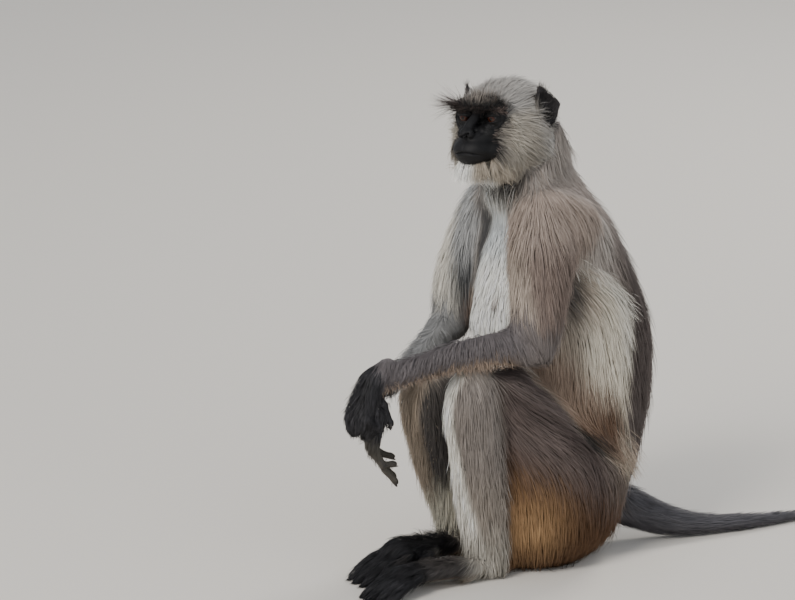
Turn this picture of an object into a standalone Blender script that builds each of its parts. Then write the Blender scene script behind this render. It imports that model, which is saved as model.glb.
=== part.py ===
"""A grey langur sitting on its haunches, life size, as still museum model.

Metres, +Z up. The animal faces -Y, its left side is +X, and the origin is the middle of the
flat under its rump, on the floor. Every solid runs out to the tips of the coat.
Each body part is its own solid, and neighbours are kept a thin gap apart.
"""

import math

import bmesh
import bpy
from mathutils import Matrix, Vector

# ---------------------------------------------------------------- driving dimensions
GAP = 0.0006          # clearance between neighbouring solids
LEFT, RIGHT = 1, -1   # side signs along X

EYE_RADIUS = 0.0095
EYE_SPACING = 0.040
EYE_DEPTH = 0.0415    # eyeball centres ahead of the head's own origin

HEAD_ORIGIN = Vector((0.000, -0.097, 0.5565))   # between the ears, at eye level
HEAD_YAW = math.radians(23)     # turned to its left
HEAD_PITCH = math.radians(2)    # nose a little down
HEAD_ROLL = math.radians(-5)    # left ear a little high

PALM_HALF_WIDTH = 0.0195
FOOT_HALF_WIDTH = 0.0195
FINGERS = ((0.027, 0.018, 0.016), (0.034, 0.025, 0.018), (0.036, 0.026, 0.019), (0.031, 0.021, 0.017))

# Heights up the trunk: (height, middle of the section in Y, half width, half depth).
TRUNK = (
    (0.004, -0.020, 0.062, 0.058),
    (0.035, -0.019, 0.086, 0.080),
    (0.080, -0.021, 0.098, 0.092),
    (0.130, -0.008, 0.099, 0.100),
    (0.190, 0.002, 0.095, 0.106),
    (0.250, -0.001, 0.090, 0.115),
    (0.290, -0.011, 0.088, 0.119),
    (0.320, -0.014, 0.087, 0.111),
    (0.360, -0.019, 0.085, 0.098),
    (0.390, -0.024, 0.083, 0.086),
    (0.420, -0.029, 0.077, 0.075),
    (0.450, -0.046, 0.066, 0.066),
    (0.480, -0.060, 0.056, 0.061),
    (0.525, -0.071, 0.048, 0.055),
)

# Along each limb: (x, y, z, half size across, half size in the limb's own plane).
ARM_LEFT = (
    (0.048, -0.062, 0.436, 0.043, 0.047),
    (0.072, -0.084, 0.398, 0.041, 0.044),
    (0.086, -0.096, 0.350, 0.036, 0.038),
    (0.093, -0.102, 0.318, 0.031, 0.035),
    (0.096, -0.103, 0.298, 0.026, 0.029),
)
FOREARM_LEFT = (
    (0.096, -0.098, 0.289, 0.023, 0.024),
    (0.094, -0.120, 0.290, 0.023, 0.026),
    (0.085, -0.150, 0.292, 0.021, 0.024),
    (0.069, -0.195, 0.287, 0.018, 0.020),
    (0.054, -0.250, 0.274, 0.017, 0.018),
    (0.044, -0.290, 0.265, 0.017, 0.019),
)
ARM_RIGHT = (
    (-0.048, -0.055, 0.436, 0.042, 0.046),
    (-0.070, -0.070, 0.400, 0.040, 0.045),
    (-0.087, -0.084, 0.350, 0.036, 0.042),
    (-0.095, -0.094, 0.318, 0.032, 0.038),
    (-0.097, -0.100, 0.298, 0.026, 0.030),
)
FOREARM_RIGHT = (
    (-0.095, -0.098, 0.284, 0.025, 0.026),
    (-0.088, -0.120, 0.272, 0.022, 0.023),
    (-0.070, -0.157, 0.256, 0.019, 0.020),
    (-0.050, -0.196, 0.241, 0.0165, 0.0175),
    (-0.033, -0.230, 0.230, 0.0165, 0.0180),
)

# Up each haunch: (height, x, y, half width, half depth), from the floor to behind the knee.
HAUNCH_LEFT = (
    (0.004, 0.048, -0.060, 0.028, 0.050),
    (0.018, 0.052, -0.058, 0.039, 0.064),
    (0.040, 0.056, -0.056, 0.047, 0.075),
    (0.085, 0.059, -0.054, 0.051, 0.081),
    (0.135, 0.061, -0.066, 0.048, 0.074),
    (0.175, 0.061, -0.084, 0.044, 0.060),
    (0.210, 0.062, -0.105, 0.039, 0.046),
    (0.238, 0.062, -0.128, 0.033, 0.034),
)
SHANK_LEFT = (
    (0.062, -0.168, 0.243, 0.031, 0.036),
    (0.062, -0.174, 0.220, 0.034, 0.039),
    (0.061, -0.166, 0.170, 0.034, 0.039),
    (0.058, -0.157, 0.110, 0.030, 0.035),
    (0.055, -0.150, 0.060, 0.027, 0.031),
    (0.053, -0.142, 0.030, 0.025, 0.029),
    (0.053, -0.137, 0.008, 0.023, 0.027),
)
SHANK_RIGHT = (
    (-0.056, -0.158, 0.212, 0.031, 0.036),
    (-0.056, -0.162, 0.192, 0.034, 0.039),
    (-0.053, -0.149, 0.140, 0.033, 0.038),
    (-0.050, -0.137, 0.095, 0.030, 0.034),
    (-0.047, -0.127, 0.060, 0.027, 0.031),
    (-0.043, -0.121, 0.030, 0.025, 0.029),
    (-0.041, -0.117, 0.008, 0.023, 0.027),
)
RIGHT_HAUNCH_LOWER = 0.87    # the right knee is drawn up less high than the left

# Down the tail: (x, y, z, half height, half width); it lies on the floor behind the rump.
TAIL = (
    (0.000, 0.040, 0.060, 0.030, 0.030),
    (0.008, 0.078, 0.046, 0.028, 0.027),
    (0.026, 0.118, 0.026, 0.023, 0.022),
    (0.042, 0.165, 0.014, 0.017, 0.017),
    (0.052, 0.230, 0.010, 0.012, 0.013),
    (0.055, 0.300, 0.007, 0.009, 0.010),
    (0.049, 0.380, 0.007, 0.009, 0.010),
    (0.027, 0.455, 0.007, 0.009, 0.010),
    (-0.014, 0.527, 0.007, 0.009, 0.010),
    (-0.072, 0.579, 0.007, 0.009, 0.011),
    (-0.136, 0.602, 0.008, 0.010, 0.012),
    (-0.196, 0.600, 0.008, 0.010, 0.013),
    (-0.236, 0.584, 0.006, 0.007, 0.007),
)

# Down the ridge of the nose, and out along the brow, in the head's own frame.
NOSE = (
    (0, -0.047, 0.006, 0.0065, 0.0070),
    (0, -0.060, -0.004, 0.0068, 0.0065),
    (0, -0.0735, -0.0145, 0.0090, 0.0060),
)
BROW_REACH = (-0.034, -0.017, 0.0, 0.017, 0.034)
BROW_SWEEP = 9.0

# How far each joint turns, in degrees, little finger to index: a loose fist and a limp hand.
FIST = ((54, 86, 56), (50, 88, 58), (48, 88, 58), (44, 84, 56))
LIMP = ((36, 74, 24), (16, 64, 4), (4, 66, 0), (4, 60, 2))

FUR_GREY = (0.33, 0.30, 0.26)
FUR_PALE = (0.62, 0.58, 0.50)
SKIN_BLACK = (0.030, 0.027, 0.027)
EYE_BROWN = (0.11, 0.035, 0.015)


# ---------------------------------------------------------------- tools
def clear_scene():
    for thing in list(bpy.data.objects):
        bpy.data.objects.remove(thing)


def object_of(name, mesh_source):
    """A new mesh object from a bmesh, which is freed."""
    mesh = bpy.data.meshes.new(name)
    mesh_source.to_mesh(mesh)
    mesh_source.free()
    made = bpy.data.objects.new(name, mesh)
    bpy.context.scene.collection.objects.link(made)
    return made


def settled(thing):
    """Turns an object's modifiers into its own mesh."""
    graph = bpy.context.evaluated_depsgraph_get()
    mesh = bpy.data.meshes.new_from_object(thing.evaluated_get(graph))
    thing.modifiers.clear()
    thing.data = mesh
    return thing


def between(stations, steps):
    """A smooth run of stations through the given ones (Catmull-Rom), with steps to each span."""
    rows = [Vector(s) for s in stations]
    rows = [2 * rows[0] - rows[1], *rows, 2 * rows[-1] - rows[-2]]
    smooth = []
    for i in range(1, len(rows) - 2):
        a, b, c, d = rows[i - 1 : i + 3]
        for k in range(steps):
            t = k / steps
            smooth.append(
                0.5 * (2 * b + (c - a) * t + (2 * a - 5 * b + 4 * c - d) * t**2
                       + (3 * b - a - 3 * c + d) * t**3)
            )
    return smooth + [rows[-2]]


def loft(name, rows, sides=20, steps=4, across=Vector((1, 0, 0)), level=False):
    """A closed tube with domed ends through (x, y, z, half across, half along) rows.

    A level loft keeps every section horizontal; any other turns it square to the route.
    """
    rows = between(rows, steps)
    places = [Vector(r[:3]) for r in rows]
    rings = []
    for i, row in enumerate(rows):
        ahead = (places[min(i + 1, len(rows) - 1)] - places[max(i - 1, 0)]).normalized()
        if level:
            ahead = Vector((0, 0, math.copysign(1, ahead.z)))
        side = (across - across.project(ahead)).normalized()
        rings.append((places[i], side * row[3], ahead.cross(side) * row[4], ahead))
    return domed(name, rings, sides)


def domed(name, rings, sides, dome_steps=3):
    """Skins the rings and rounds both ends off."""
    first, last = rings[0], rings[-1]

    def dome(ring, sign):
        place, side, up, ahead = ring
        reach = min(side.length, up.length) * 0.8
        turned = []
        for k in range(1, dome_steps):
            angle = k * math.pi / 2 / dome_steps
            middle = place + ahead * sign * reach * math.sin(angle)
            turned.append((middle, side * math.cos(angle), up * math.cos(angle), ahead))
        return turned, place + ahead * sign * reach

    start, start_pole = dome(first, -1)
    end, end_pole = dome(last, 1)
    shape = bmesh.new()
    loops = []
    for place, side, up, _ in [*reversed(start), *rings, *end]:
        turns = [2 * math.pi * k / sides for k in range(sides)]
        loops.append([shape.verts.new(place + side * math.cos(t) + up * math.sin(t)) for t in turns])
    for near, far in zip(loops, loops[1:]):
        for k in range(sides):
            m = (k + 1) % sides
            shape.faces.new((near[k], near[m], far[m], far[k]))
    for pole, loop in ((start_pole, loops[0]), (end_pole, loops[-1])):
        tip = shape.verts.new(pole)
        for k in range(sides):
            shape.faces.new((tip, loop[k], loop[(k + 1) % sides]))
    bmesh.ops.recalc_face_normals(shape, faces=shape.faces)
    return object_of(name, shape)


def blob(name, centre, radii, turn=None, detail=20):
    """An ellipsoid."""
    shape = bmesh.new()
    bmesh.ops.create_uvsphere(shape, u_segments=detail, v_segments=detail // 2 + 2, radius=1)
    place = Matrix.Translation(centre) @ (turn or Matrix.Identity(4))
    bmesh.ops.transform(shape, matrix=place @ Matrix.Diagonal((*radii, 1)), verts=shape.verts)
    return object_of(name, shape)


def joined(name, shells):
    """One object that holds all the shells' meshes."""
    shape = bmesh.new()
    for shell in shells:
        moved = shell.data.copy()
        moved.transform(shell.matrix_world)
        shape.from_mesh(moved)
        bpy.data.objects.remove(shell)
    return object_of(name, shape)


def fused(name, shells, voxel, passes, triangles):
    """The shells as one smooth closed body of about that many triangles."""
    body = joined(name, shells)
    remesh = body.modifiers.new("fuse", "REMESH")
    remesh.mode = "VOXEL"
    remesh.voxel_size = voxel
    soften = body.modifiers.new("soften", "SMOOTH")
    soften.factor = 0.5
    soften.iterations = passes
    settled(body)
    faces = sum(len(p.vertices) - 2 for p in body.data.polygons)
    thin = body.modifiers.new("thin", "DECIMATE")
    thin.ratio = triangles / faces
    return settled(body)


def grown(thing, by):
    """A copy of the thing, swollen by that much along its normals."""
    shape = bmesh.new()
    shape.from_mesh(thing.data)
    shape.normal_update()
    for vert in shape.verts:
        vert.co += vert.normal * by
    return object_of(thing.name + "_cutter", shape)


def boolean(thing, cutter, operation="DIFFERENCE"):
    """Cuts the thing with the cutter, or keeps what they share, and removes the cutter."""
    step = thing.modifiers.new("cut", "BOOLEAN")
    step.operation = operation
    step.solver = "EXACT"
    step.object = cutter
    settled(thing)
    bpy.data.objects.remove(cutter)
    return thing


def clear_of(thing, neighbour, room=GAP):
    """Takes the neighbour, with a little room round it, out of the thing."""
    return whole(boolean(thing, grown(neighbour, room)))


def half(thing, name, centre, normal):
    """The part of the thing ahead of a plane, cut half a gap clear of it."""
    shape = bmesh.new()
    shape.from_mesh(thing.data)
    kept = object_of(name, shape)
    block = bmesh.new()
    bmesh.ops.create_cube(block, size=2)
    ahead = Vector(normal).normalized()
    turn = ahead.to_track_quat("Z", "Y").to_matrix().to_4x4()
    place = Matrix.Translation(Vector(centre) + ahead * (GAP / 2 - 1)) @ turn
    bmesh.ops.transform(block, matrix=place, verts=block.verts)
    return whole(boolean(kept, object_of("block", block)))


def halves(thing, centre, normal, ahead, behind):
    """Parts the thing at a plane into two named solids."""
    turned = -Vector(normal)
    pair = half(thing, ahead, centre, normal), half(thing, behind, centre, turned)
    bpy.data.objects.remove(thing)
    return pair


def whole(thing):
    """Drops the shavings that a cut leaves, and keeps the largest body."""
    shape = bmesh.new()
    shape.from_mesh(thing.data)
    seen, largest = set(), []
    for vert in shape.verts:
        if vert in seen:
            continue
        todo, part = [vert], []
        seen.add(vert)
        while todo:
            here = todo.pop()
            part.append(here)
            near = [edge.other_vert(here) for edge in here.link_edges]
            fresh = [other for other in near if other not in seen]
            seen.update(fresh)
            todo.extend(fresh)
        largest = max(largest, part, key=len)
    keep = set(largest)
    bmesh.ops.delete(shape, geom=[v for v in shape.verts if v not in keep], context="VERTS")
    shape.to_mesh(thing.data)
    shape.free()
    return thing


def grounded(thing):
    """Cuts off what reaches below the floor, which leaves the flats that the animal rests on."""
    slab = bmesh.new()
    bmesh.ops.create_cube(slab, size=1)
    under = Matrix.Translation((0, 0, -0.1)) @ Matrix.Diagonal((3, 3, 0.2, 1))
    bmesh.ops.transform(slab, matrix=under, verts=slab.verts)
    return boolean(thing, object_of("floor_cutter", slab))


def finish(thing, colour, roughness):
    """Names the mesh, gives the solid its material and shades it smooth."""
    name = thing.name
    material = bpy.data.materials.new(name)
    material.use_nodes = True
    shader = material.node_tree.nodes["Principled BSDF"]
    shader.inputs["Base Color"].default_value = (*colour, 1)
    shader.inputs["Roughness"].default_value = roughness
    shader.inputs["Metallic"].default_value = 0
    thing.data.name = name
    thing.data.materials.clear()
    thing.data.materials.append(material)
    thing.data.shade_smooth()
    return thing


# ---------------------------------------------------------------- head
def head_place():
    return (
        Matrix.Translation(HEAD_ORIGIN)
        @ Matrix.Rotation(HEAD_YAW, 4, "Z")
        @ Matrix.Rotation(HEAD_PITCH, 4, "X")
        @ Matrix.Rotation(HEAD_ROLL, 4, "Y")
    )


def moved(thing, matrix):
    thing.data.transform(matrix)
    return thing


def eye(side):
    name = "eye_left" if side == LEFT else "eye_right"
    shape = bmesh.new()
    bmesh.ops.create_uvsphere(shape, u_segments=12, v_segments=8, radius=EYE_RADIUS)
    centre = Matrix.Translation((side * EYE_SPACING / 2, -EYE_DEPTH, 0))
    bmesh.ops.transform(shape, matrix=head_place() @ centre, verts=shape.verts)
    return object_of(name, shape)


def ear(side):
    """A thin upright cup that stands out behind the cheek and leans a little forward."""
    name = "ear_left" if side == LEFT else "ear_right"
    flap = blob(name, (0, 0, 0), (0.0055, 0.0165, 0.0262), detail=12)
    boolean(flap, blob("concha", (0.0058, -0.001, -0.001), (0.0055, 0.0105, 0.0175), detail=8))
    turn = Matrix.Rotation(math.radians(-24), 4, "Z") @ Matrix.Rotation(math.radians(11), 4, "X")
    flap.data.transform(Matrix.Translation((0.0560, 0.0170, 0.0030)) @ turn)
    if side == RIGHT:
        flap.data.transform(Matrix.Diagonal((-1, 1, 1, 1)))
        flap.data.flip_normals()
    return moved(flap, head_place())


def head():
    """Crown, ruff and beard of hair round a bare face with a heavy brow and a short muzzle."""
    shells = [
        blob("cranium", (0, 0.010, -0.003), (0.053, 0.060, 0.040)),
        blob("forehead", (0, -0.026, 0.012), (0.040, 0.034, 0.023)),
        blob("brow_hair", (0, -0.052, 0.0235), (0.036, 0.026, 0.0070)),
        blob("nape", (0, 0.042, -0.034), (0.048, 0.040, 0.046)),
        blob("beard", (0, -0.050, -0.064), (0.034, 0.032, 0.021)),
        blob("throat", (0, -0.016, -0.058), (0.038, 0.036, 0.024)),
        blob("face", (0, -0.036, -0.012), (0.036, 0.022, 0.032)),
        blob("muzzle", (0, -0.052, -0.031), (0.0290, 0.0290, 0.0200)),
        blob("chin", (0, -0.056, -0.043), (0.0220, 0.0200, 0.0095)),
        loft("nose", NOSE),
        loft("brow", [(l, BROW_SWEEP * l * l - 0.0515, 0.0125, 0.0075, 0.0080) for l in BROW_REACH],
             across=Vector((0, 0, 1))),
    ]
    for side in (LEFT, RIGHT):
        shells.append(blob("ruff", (side * 0.028, -0.006, -0.028), (0.031, 0.046, 0.040)))
        shells.append(blob("jowl", (side * 0.025, -0.034, -0.050), (0.027, 0.031, 0.024)))
        shells.append(blob("cheekbone", (side * 0.0265, -0.0405, -0.013), (0.012, 0.012, 0.010)))
        shells.append(blob("lid", (side * EYE_SPACING / 2, -0.0375, 0), (0.0130, 0.0100, 0.0100)))
    solid = fused("head", shells, 0.0024, 2, 1050)
    for side in (LEFT, RIGHT):
        opening = (side * EYE_SPACING / 2, -EYE_DEPTH - EYE_RADIUS, 0)
        boolean(solid, blob("lids", opening, (0.0085, 0.0075, 0.0045), detail=8))
        lips = Matrix.Rotation(math.radians(side * 30), 4, "Z")
        boolean(solid, blob("mouth", (side * 0.012, -0.0785, -0.0365), (0.017, 0.0075, 0.0014), lips, 8))
    return moved(solid, head_place())


# ---------------------------------------------------------------- hands and feet
def digit(name, base, along, palmar, lengths, bends, radius):
    """A finger or toe: each joint turns it further from along towards palmar."""
    rows, place, angle = [(*base, radius, radius)], Vector(base), 0.0
    for k, (length, bend) in enumerate(zip(lengths, bends)):
        angle += math.radians(bend)
        place = place + (along * math.cos(angle) + palmar * math.sin(angle)) * length
        size = radius * (1 - 0.09 * (k + 1))
        rows.append((*place, size, size))
    across = along.cross(palmar)
    return loft(name, rows, sides=10, steps=3, across=across)


def hand(side, wrist, knuckles, bends, spread, grip):
    """A hanging hand: little finger first, a short thumb high on the inner edge, a filled grip."""
    name = "hand_left" if side == LEFT else "hand_right"
    wrist, knuckles = Vector(wrist), Vector(knuckles)
    along = (knuckles - wrist).normalized()
    across = Vector((1, 0, 0))
    across = (across - across.project(along)).normalized()
    palmar = along.cross(across)
    palmar = palmar if palmar.y > 0 else -palmar
    shells = [
        loft(name + "_palm", [
            (*(wrist - along * 0.010 + palmar * 0.006), 0.0120, 0.0120),
            (*wrist, 0.0170, 0.0175),
            (*wrist.lerp(knuckles, 0.5), 0.0205, 0.0165),
            (*knuckles, PALM_HALF_WIDTH, 0.0130),
        ], across=across),
    ]
    for k, (parts, bend) in enumerate(zip(FINGERS, bends)):
        offset = (1.5 - k) * side * 0.0100
        way = (along + across * offset * spread).normalized()
        base = knuckles + across * offset - along * 0.006
        shells.append(digit(f"finger_{k}", base, way, palmar, parts, bend, 0.0072))
    thumb_base = wrist + along * 0.030 - across * side * 0.015 + palmar * 0.008
    thumb_way = (along - across * side * 0.30 + palmar * 0.25).normalized()
    shells.append(digit("thumb", thumb_base, thumb_way, palmar, (0.013, 0.011), (5, 15), 0.0064))
    if grip:
        centre = knuckles + palmar * 0.016 + along * 0.004
        shells.append(blob("grip", centre, (grip * 1.4, grip, grip)))
    return fused(name, shells, 0.0022, 2, 430)


def foot(side, heel, ball, toe_way, depths):
    """A long foot, a little arched, with gripping toes; the great toe stands off the inner edge."""
    name = "foot_left" if side == LEFT else "foot_right"
    heel, ball, toe_way = Vector(heel), Vector(ball), Vector(toe_way).normalized()
    along = (ball - heel).normalized()
    across = Vector((-along.y, along.x, 0)).normalized()
    down = Vector((0, 0, -1))
    shells = [
        loft(name + "_sole", [
            (*heel, 0.0165, 0.0150),
            (*heel.lerp(ball, 0.30), 0.0175, depths[0]),
            (*heel.lerp(ball, 0.65), 0.0190, depths[0]),
            (*ball, FOOT_HALF_WIDTH, depths[1]),
        ], across=across),
    ]
    fan = Vector((-toe_way.y, toe_way.x, 0)).normalized()
    for k, share in enumerate((0.82, 0.96, 1.0, 0.90)):
        offset = (1.5 - k) * side * 0.0102
        base = ball + across * offset - along * 0.004
        way = (toe_way + fan * offset * 9).normalized()
        parts = [length * share for length in (0.030, 0.022, 0.017)]
        shells.append(digit(f"toe_{k}", base, way, down, parts, (0, 14, 10), 0.0074))
    great_base = heel.lerp(ball, 0.58) - across * side * 0.014
    great_way = (along - across * side * 0.42 + down * 0.15).normalized()
    shells.append(digit("great_toe", great_base, great_way, down, (0.028, 0.024), (4, 10), 0.0082))
    return fused(name, shells, 0.0024, 2, 430)


# ---------------------------------------------------------------- trunk, limbs and tail
def haunch(rows, mirror, lower):
    turned = [(mirror * x, y, z * lower, a, b) for z, x, y, a, b in rows]
    return loft("haunch", turned, sides=24, level=True)


def leg(side, haunch_rows, shank_rows, lower):
    name = "leg_left" if side == LEFT else "leg_right"
    shells = [haunch(haunch_rows, side, lower), loft(name + "_shank", shank_rows, sides=20)]
    return fused(name, shells, 0.004, 3, 430)


def trunk():
    rows = [(0, y, z, a, b) for z, y, a, b in TRUNK]
    return fused("trunk", [loft("trunk_tube", rows, sides=28, level=True)], 0.005, 3, 1000)


def arm(side, upper, fore):
    """Shoulder to wrist; the long hair of the shoulder also bridges the arm and the back."""
    name = "arm_left" if side == LEFT else "arm_right"
    cape = blob("cape", (side * 0.062, -0.045, 0.420), (0.036, 0.046, 0.046))
    return fused(name, [loft("upper", upper, sides=20), loft("fore", fore, sides=20), cape], 0.004, 4, 400)


def main():
    clear_scene()
    skull, eyes = head(), [eye(LEFT), eye(RIGHT)]
    for ball in eyes:
        clear_of(skull, ball)
    ears = [clear_of(ear(side), skull) for side in (LEFT, RIGHT)]

    body = trunk()
    for other in (skull, *ears):
        clear_of(body, other)
    arms = [arm(LEFT, ARM_LEFT, FOREARM_LEFT), arm(RIGHT, ARM_RIGHT, FOREARM_RIGHT)]
    for limb in arms:
        for other in (body, skull):
            clear_of(limb, other)
    hands = [
        hand(LEFT, (0.043, -0.303, 0.260), (0.041, -0.328, 0.216), FIST, 3, 0.011),
        hand(RIGHT, (-0.028, -0.243, 0.222), (-0.022, -0.262, 0.180), LIMP, 0, 0.0),
    ]
    for paw in hands:
        for limb in arms:
            clear_of(paw, limb)
    clear_of(hands[1], hands[0])

    legs = [leg(LEFT, HAUNCH_LEFT, SHANK_LEFT, 1.0), leg(RIGHT, HAUNCH_LEFT, SHANK_RIGHT, RIGHT_HAUNCH_LOWER)]
    for limb in legs:
        for other in (body, *arms, *hands):
            clear_of(limb, other)
    feet = [
        foot(LEFT, (0.055, -0.135, 0.014), (0.061, -0.262, 0.022), (0.22, -1, -0.20), (0.017, 0.015)),
        foot(RIGHT, (-0.040, -0.117, 0.018), (-0.007, -0.236, 0.026), (0.20, -1, -0.24), (0.024, 0.024)),
    ]
    for sole, limb in zip(feet, legs):
        clear_of(sole, limb)
    tail = loft("tail", TAIL, sides=12, steps=2, across=Vector((0, 0, 1)))
    for other in (body, *legs):
        clear_of(tail, other)

    neck, body = halves(body, (0, -0.055, 0.462), (0, -0.35, 1), "neck", "body")
    chest, belly = halves(body, (0, -0.010, 0.235), (0, 0.05, 1), "chest", "belly")
    solids = [skull, *eyes, *ears, *hands, *feet, neck, chest, belly]
    for word, limb, elbow in (("left", arms[0], (0.096, -0.096, 0.296)), ("right", arms[1], (-0.097, -0.108, 0.296))):
        solids.extend(halves(limb, elbow, (0, 0.75, 0.66), "upper_arm_" + word, "forearm_" + word))
    for word, limb, shin in (("left", legs[0], -0.140), ("right", legs[1], -0.124)):
        solids.extend(halves(limb, (0, shin, 0.12), (0, 1, 0.07), "thigh_" + word, "lower_leg_" + word))
    rest = tail
    for centre, normal, name in (
        ((0.050, 0.200, 0.010), (0.1, 1, 0), "tail_root"),
        ((0.036, 0.430, 0.010), (-0.4, 1, 0), "tail_middle"),
        ((-0.080, 0.582, 0.010), (-1, 0.25, 0), "tail_lower"),
    ):
        rest, nearer = halves(rest, centre, normal, "tail_tip", name)
        solids.append(nearer)
    solids.append(rest)

    animal = bpy.data.collections.new("grey_langur")
    bpy.context.scene.collection.children.link(animal)
    root = bpy.data.objects.new("langur_root", None)
    animal.objects.link(root)
    for solid in solids:
        if min(v.co.z for v in solid.data.vertices) < 0:
            grounded(solid)
        for home in list(solid.users_collection):
            home.objects.unlink(solid)
        animal.objects.link(solid)
        solid.parent = root
        if solid.name.startswith("eye"):
            finish(solid, EYE_BROWN, 0.1)
        elif solid.name.startswith(("hand", "foot", "ear")):
            finish(solid, SKIN_BLACK, 0.6)
        elif solid.name in ("chest", "belly", "head"):
            finish(solid, FUR_PALE, 0.8)
        else:
            finish(solid, FUR_GREY, 0.8)


main()
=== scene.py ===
# %% [markdown]
# # A grey langur, life size, sitting on the ground
#
# The animal rests on its rump with its knees drawn up, its forearms laid over them and its head
# turned to its left. We make it as a museum modeller does: first one skin over the whole body,
# then glass eyes and nails, and last the coat, laid on in locks that follow the lie of the hair.
# The rough solids of the frame give the outline of the coat, and everything else is fitted inside.

import math

import bmesh
import bpy
import numpy as np
from mathutils import Matrix, Vector
from mathutils.bvhtree import BVHTree
from mathutils.kdtree import KDTree


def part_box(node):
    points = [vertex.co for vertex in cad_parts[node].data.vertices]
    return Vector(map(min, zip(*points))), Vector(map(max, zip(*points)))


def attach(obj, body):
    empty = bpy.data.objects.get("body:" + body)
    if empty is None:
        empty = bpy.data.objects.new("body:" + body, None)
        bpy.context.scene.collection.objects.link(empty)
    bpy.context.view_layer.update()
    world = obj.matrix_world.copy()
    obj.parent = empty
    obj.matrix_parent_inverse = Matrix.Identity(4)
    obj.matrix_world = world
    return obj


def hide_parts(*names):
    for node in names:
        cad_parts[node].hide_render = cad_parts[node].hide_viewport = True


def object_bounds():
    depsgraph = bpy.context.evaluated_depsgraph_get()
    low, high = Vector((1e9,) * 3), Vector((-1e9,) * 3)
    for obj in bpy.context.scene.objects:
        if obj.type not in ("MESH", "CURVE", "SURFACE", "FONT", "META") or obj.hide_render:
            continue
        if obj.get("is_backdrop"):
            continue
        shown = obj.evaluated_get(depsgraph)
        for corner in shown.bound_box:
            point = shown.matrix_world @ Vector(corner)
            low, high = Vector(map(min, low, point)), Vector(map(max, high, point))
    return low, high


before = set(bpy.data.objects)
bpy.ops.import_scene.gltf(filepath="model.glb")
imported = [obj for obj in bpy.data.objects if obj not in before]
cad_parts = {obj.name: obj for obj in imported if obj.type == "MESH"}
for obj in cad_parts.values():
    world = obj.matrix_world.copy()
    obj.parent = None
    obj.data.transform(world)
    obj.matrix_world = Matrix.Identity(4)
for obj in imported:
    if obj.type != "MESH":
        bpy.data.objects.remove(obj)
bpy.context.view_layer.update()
chance = np.random.default_rng(41)
LEFT, RIGHT = 1, -1
SIDES = {LEFT: "left", RIGHT: "right"}
print("solids in the frame:", len(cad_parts))

# %% [markdown]
# Small helpers come first. They make objects, meshes and materials, and set the inputs of nodes.


# %% New objects, meshes and materials
def placed(name, data):
    """A new object in the scene that holds the given mesh, lamp or camera."""
    thing = bpy.data.objects.new(name, data)
    bpy.context.scene.collection.objects.link(thing)
    return thing


def as_mesh(name, shape):
    """A new mesh that takes over a bmesh, which is freed."""
    mesh = bpy.data.meshes.new(name)
    shape.to_mesh(mesh)
    shape.free()
    return mesh


def as_bmesh(*meshes):
    """One bmesh that holds copies of the given meshes."""
    shape = bmesh.new()
    for mesh in meshes:
        shape.from_mesh(mesh)
    return shape


def set_sockets(node, settings):
    """Gives a node's inputs their values, by name or number."""
    for socket, value in settings.items():
        node.inputs[socket].default_value = value


def new_material(name, settings):
    """A material and its shader, whose sockets take the settings."""
    material = bpy.data.materials.new(name)
    material.use_nodes = True
    shader = material.node_tree.nodes["Principled BSDF"]
    set_sockets(shader, settings)
    return material, shader


# %% [markdown]
# ## Camera, floor and light
#
# A long lens from the animal's left front keeps its proportions true. The toes of the near foot
# leave the picture at the bottom and the tail leaves it on the right. The floor is one large pale
# sheet. Soft light comes from three area lamps: a warm key high on the left, a wide cool fill and
# a lamp behind that draws the edge of the coat.

# %% Camera and studio
VIEW_TURN = math.radians(58)
VIEW_HEIGHT = math.radians(14)
CAMERA_PLACE = (5.590, -3.734, 1.986)
LENS_MM = 259.8
look = Vector((
    -math.sin(VIEW_TURN) * math.cos(VIEW_HEIGHT),
    math.cos(VIEW_TURN) * math.cos(VIEW_HEIGHT),
    -math.sin(VIEW_HEIGHT),
))
rightward = Vector((math.cos(VIEW_TURN), math.sin(VIEW_TURN), 0))
upward = rightward.cross(look)
camera_data = bpy.data.cameras.new("camera")
camera_data.lens = LENS_MM
camera_data.sensor_width = 36
camera_data.clip_end = 60
camera = placed("camera", camera_data)
axes = Matrix((rightward, upward, -look)).transposed().to_4x4()
camera.matrix_world = Matrix.Translation(CAMERA_PLACE) @ axes
bpy.context.scene.camera = camera

FLOOR_HALF = 7
FLOOR_COLOUR = (0.72, 0.68, 0.62, 1)
sheet = bmesh.new()
bmesh.ops.create_grid(sheet, x_segments=1, y_segments=1, size=FLOOR_HALF)
floor = placed("floor", as_mesh("floor", sheet))
floor.data.materials.append(new_material("pale_floor", {"Base Color": FLOOR_COLOUR, "Roughness": 0.9})[0])
floor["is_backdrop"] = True

LIT_PLACE = Vector((0, -0.05, 0.3))
SKY_COLOUR = (0.80, 0.84, 0.90, 1)
SKY_STRENGTH = 0.68
LAMPS = (
    # name, place, size, power, colour
    ("key", (1.6, -3.4, 3.4), 1.5, 150, (1.0, 0.955, 0.90)),
    ("fill", (4.5, 0.6, 2.2), 3.2, 42, (0.90, 0.95, 1.0)),
    ("edge", (-1.4, 2.9, 2.6), 1.2, 70, (1.0, 0.97, 0.93)),
)
for name, place, size, power, colour in LAMPS:
    lamp_data = bpy.data.lights.new(name, "AREA")
    lamp_data.size = size
    lamp_data.energy = power
    lamp_data.color = colour
    lamp = placed(name, lamp_data)
    lamp.location = place
    lamp.rotation_euler = (LIT_PLACE - Vector(place)).to_track_quat("-Z", "Y").to_euler()
world = bpy.data.worlds.new("studio")
world.use_nodes = True
set_sockets(world.node_tree.nodes["Background"], {"Color": SKY_COLOUR, "Strength": SKY_STRENGTH})
bpy.context.scene.world = world
print("camera at", [round(c, 2) for c in camera.matrix_world.translation])

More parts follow.
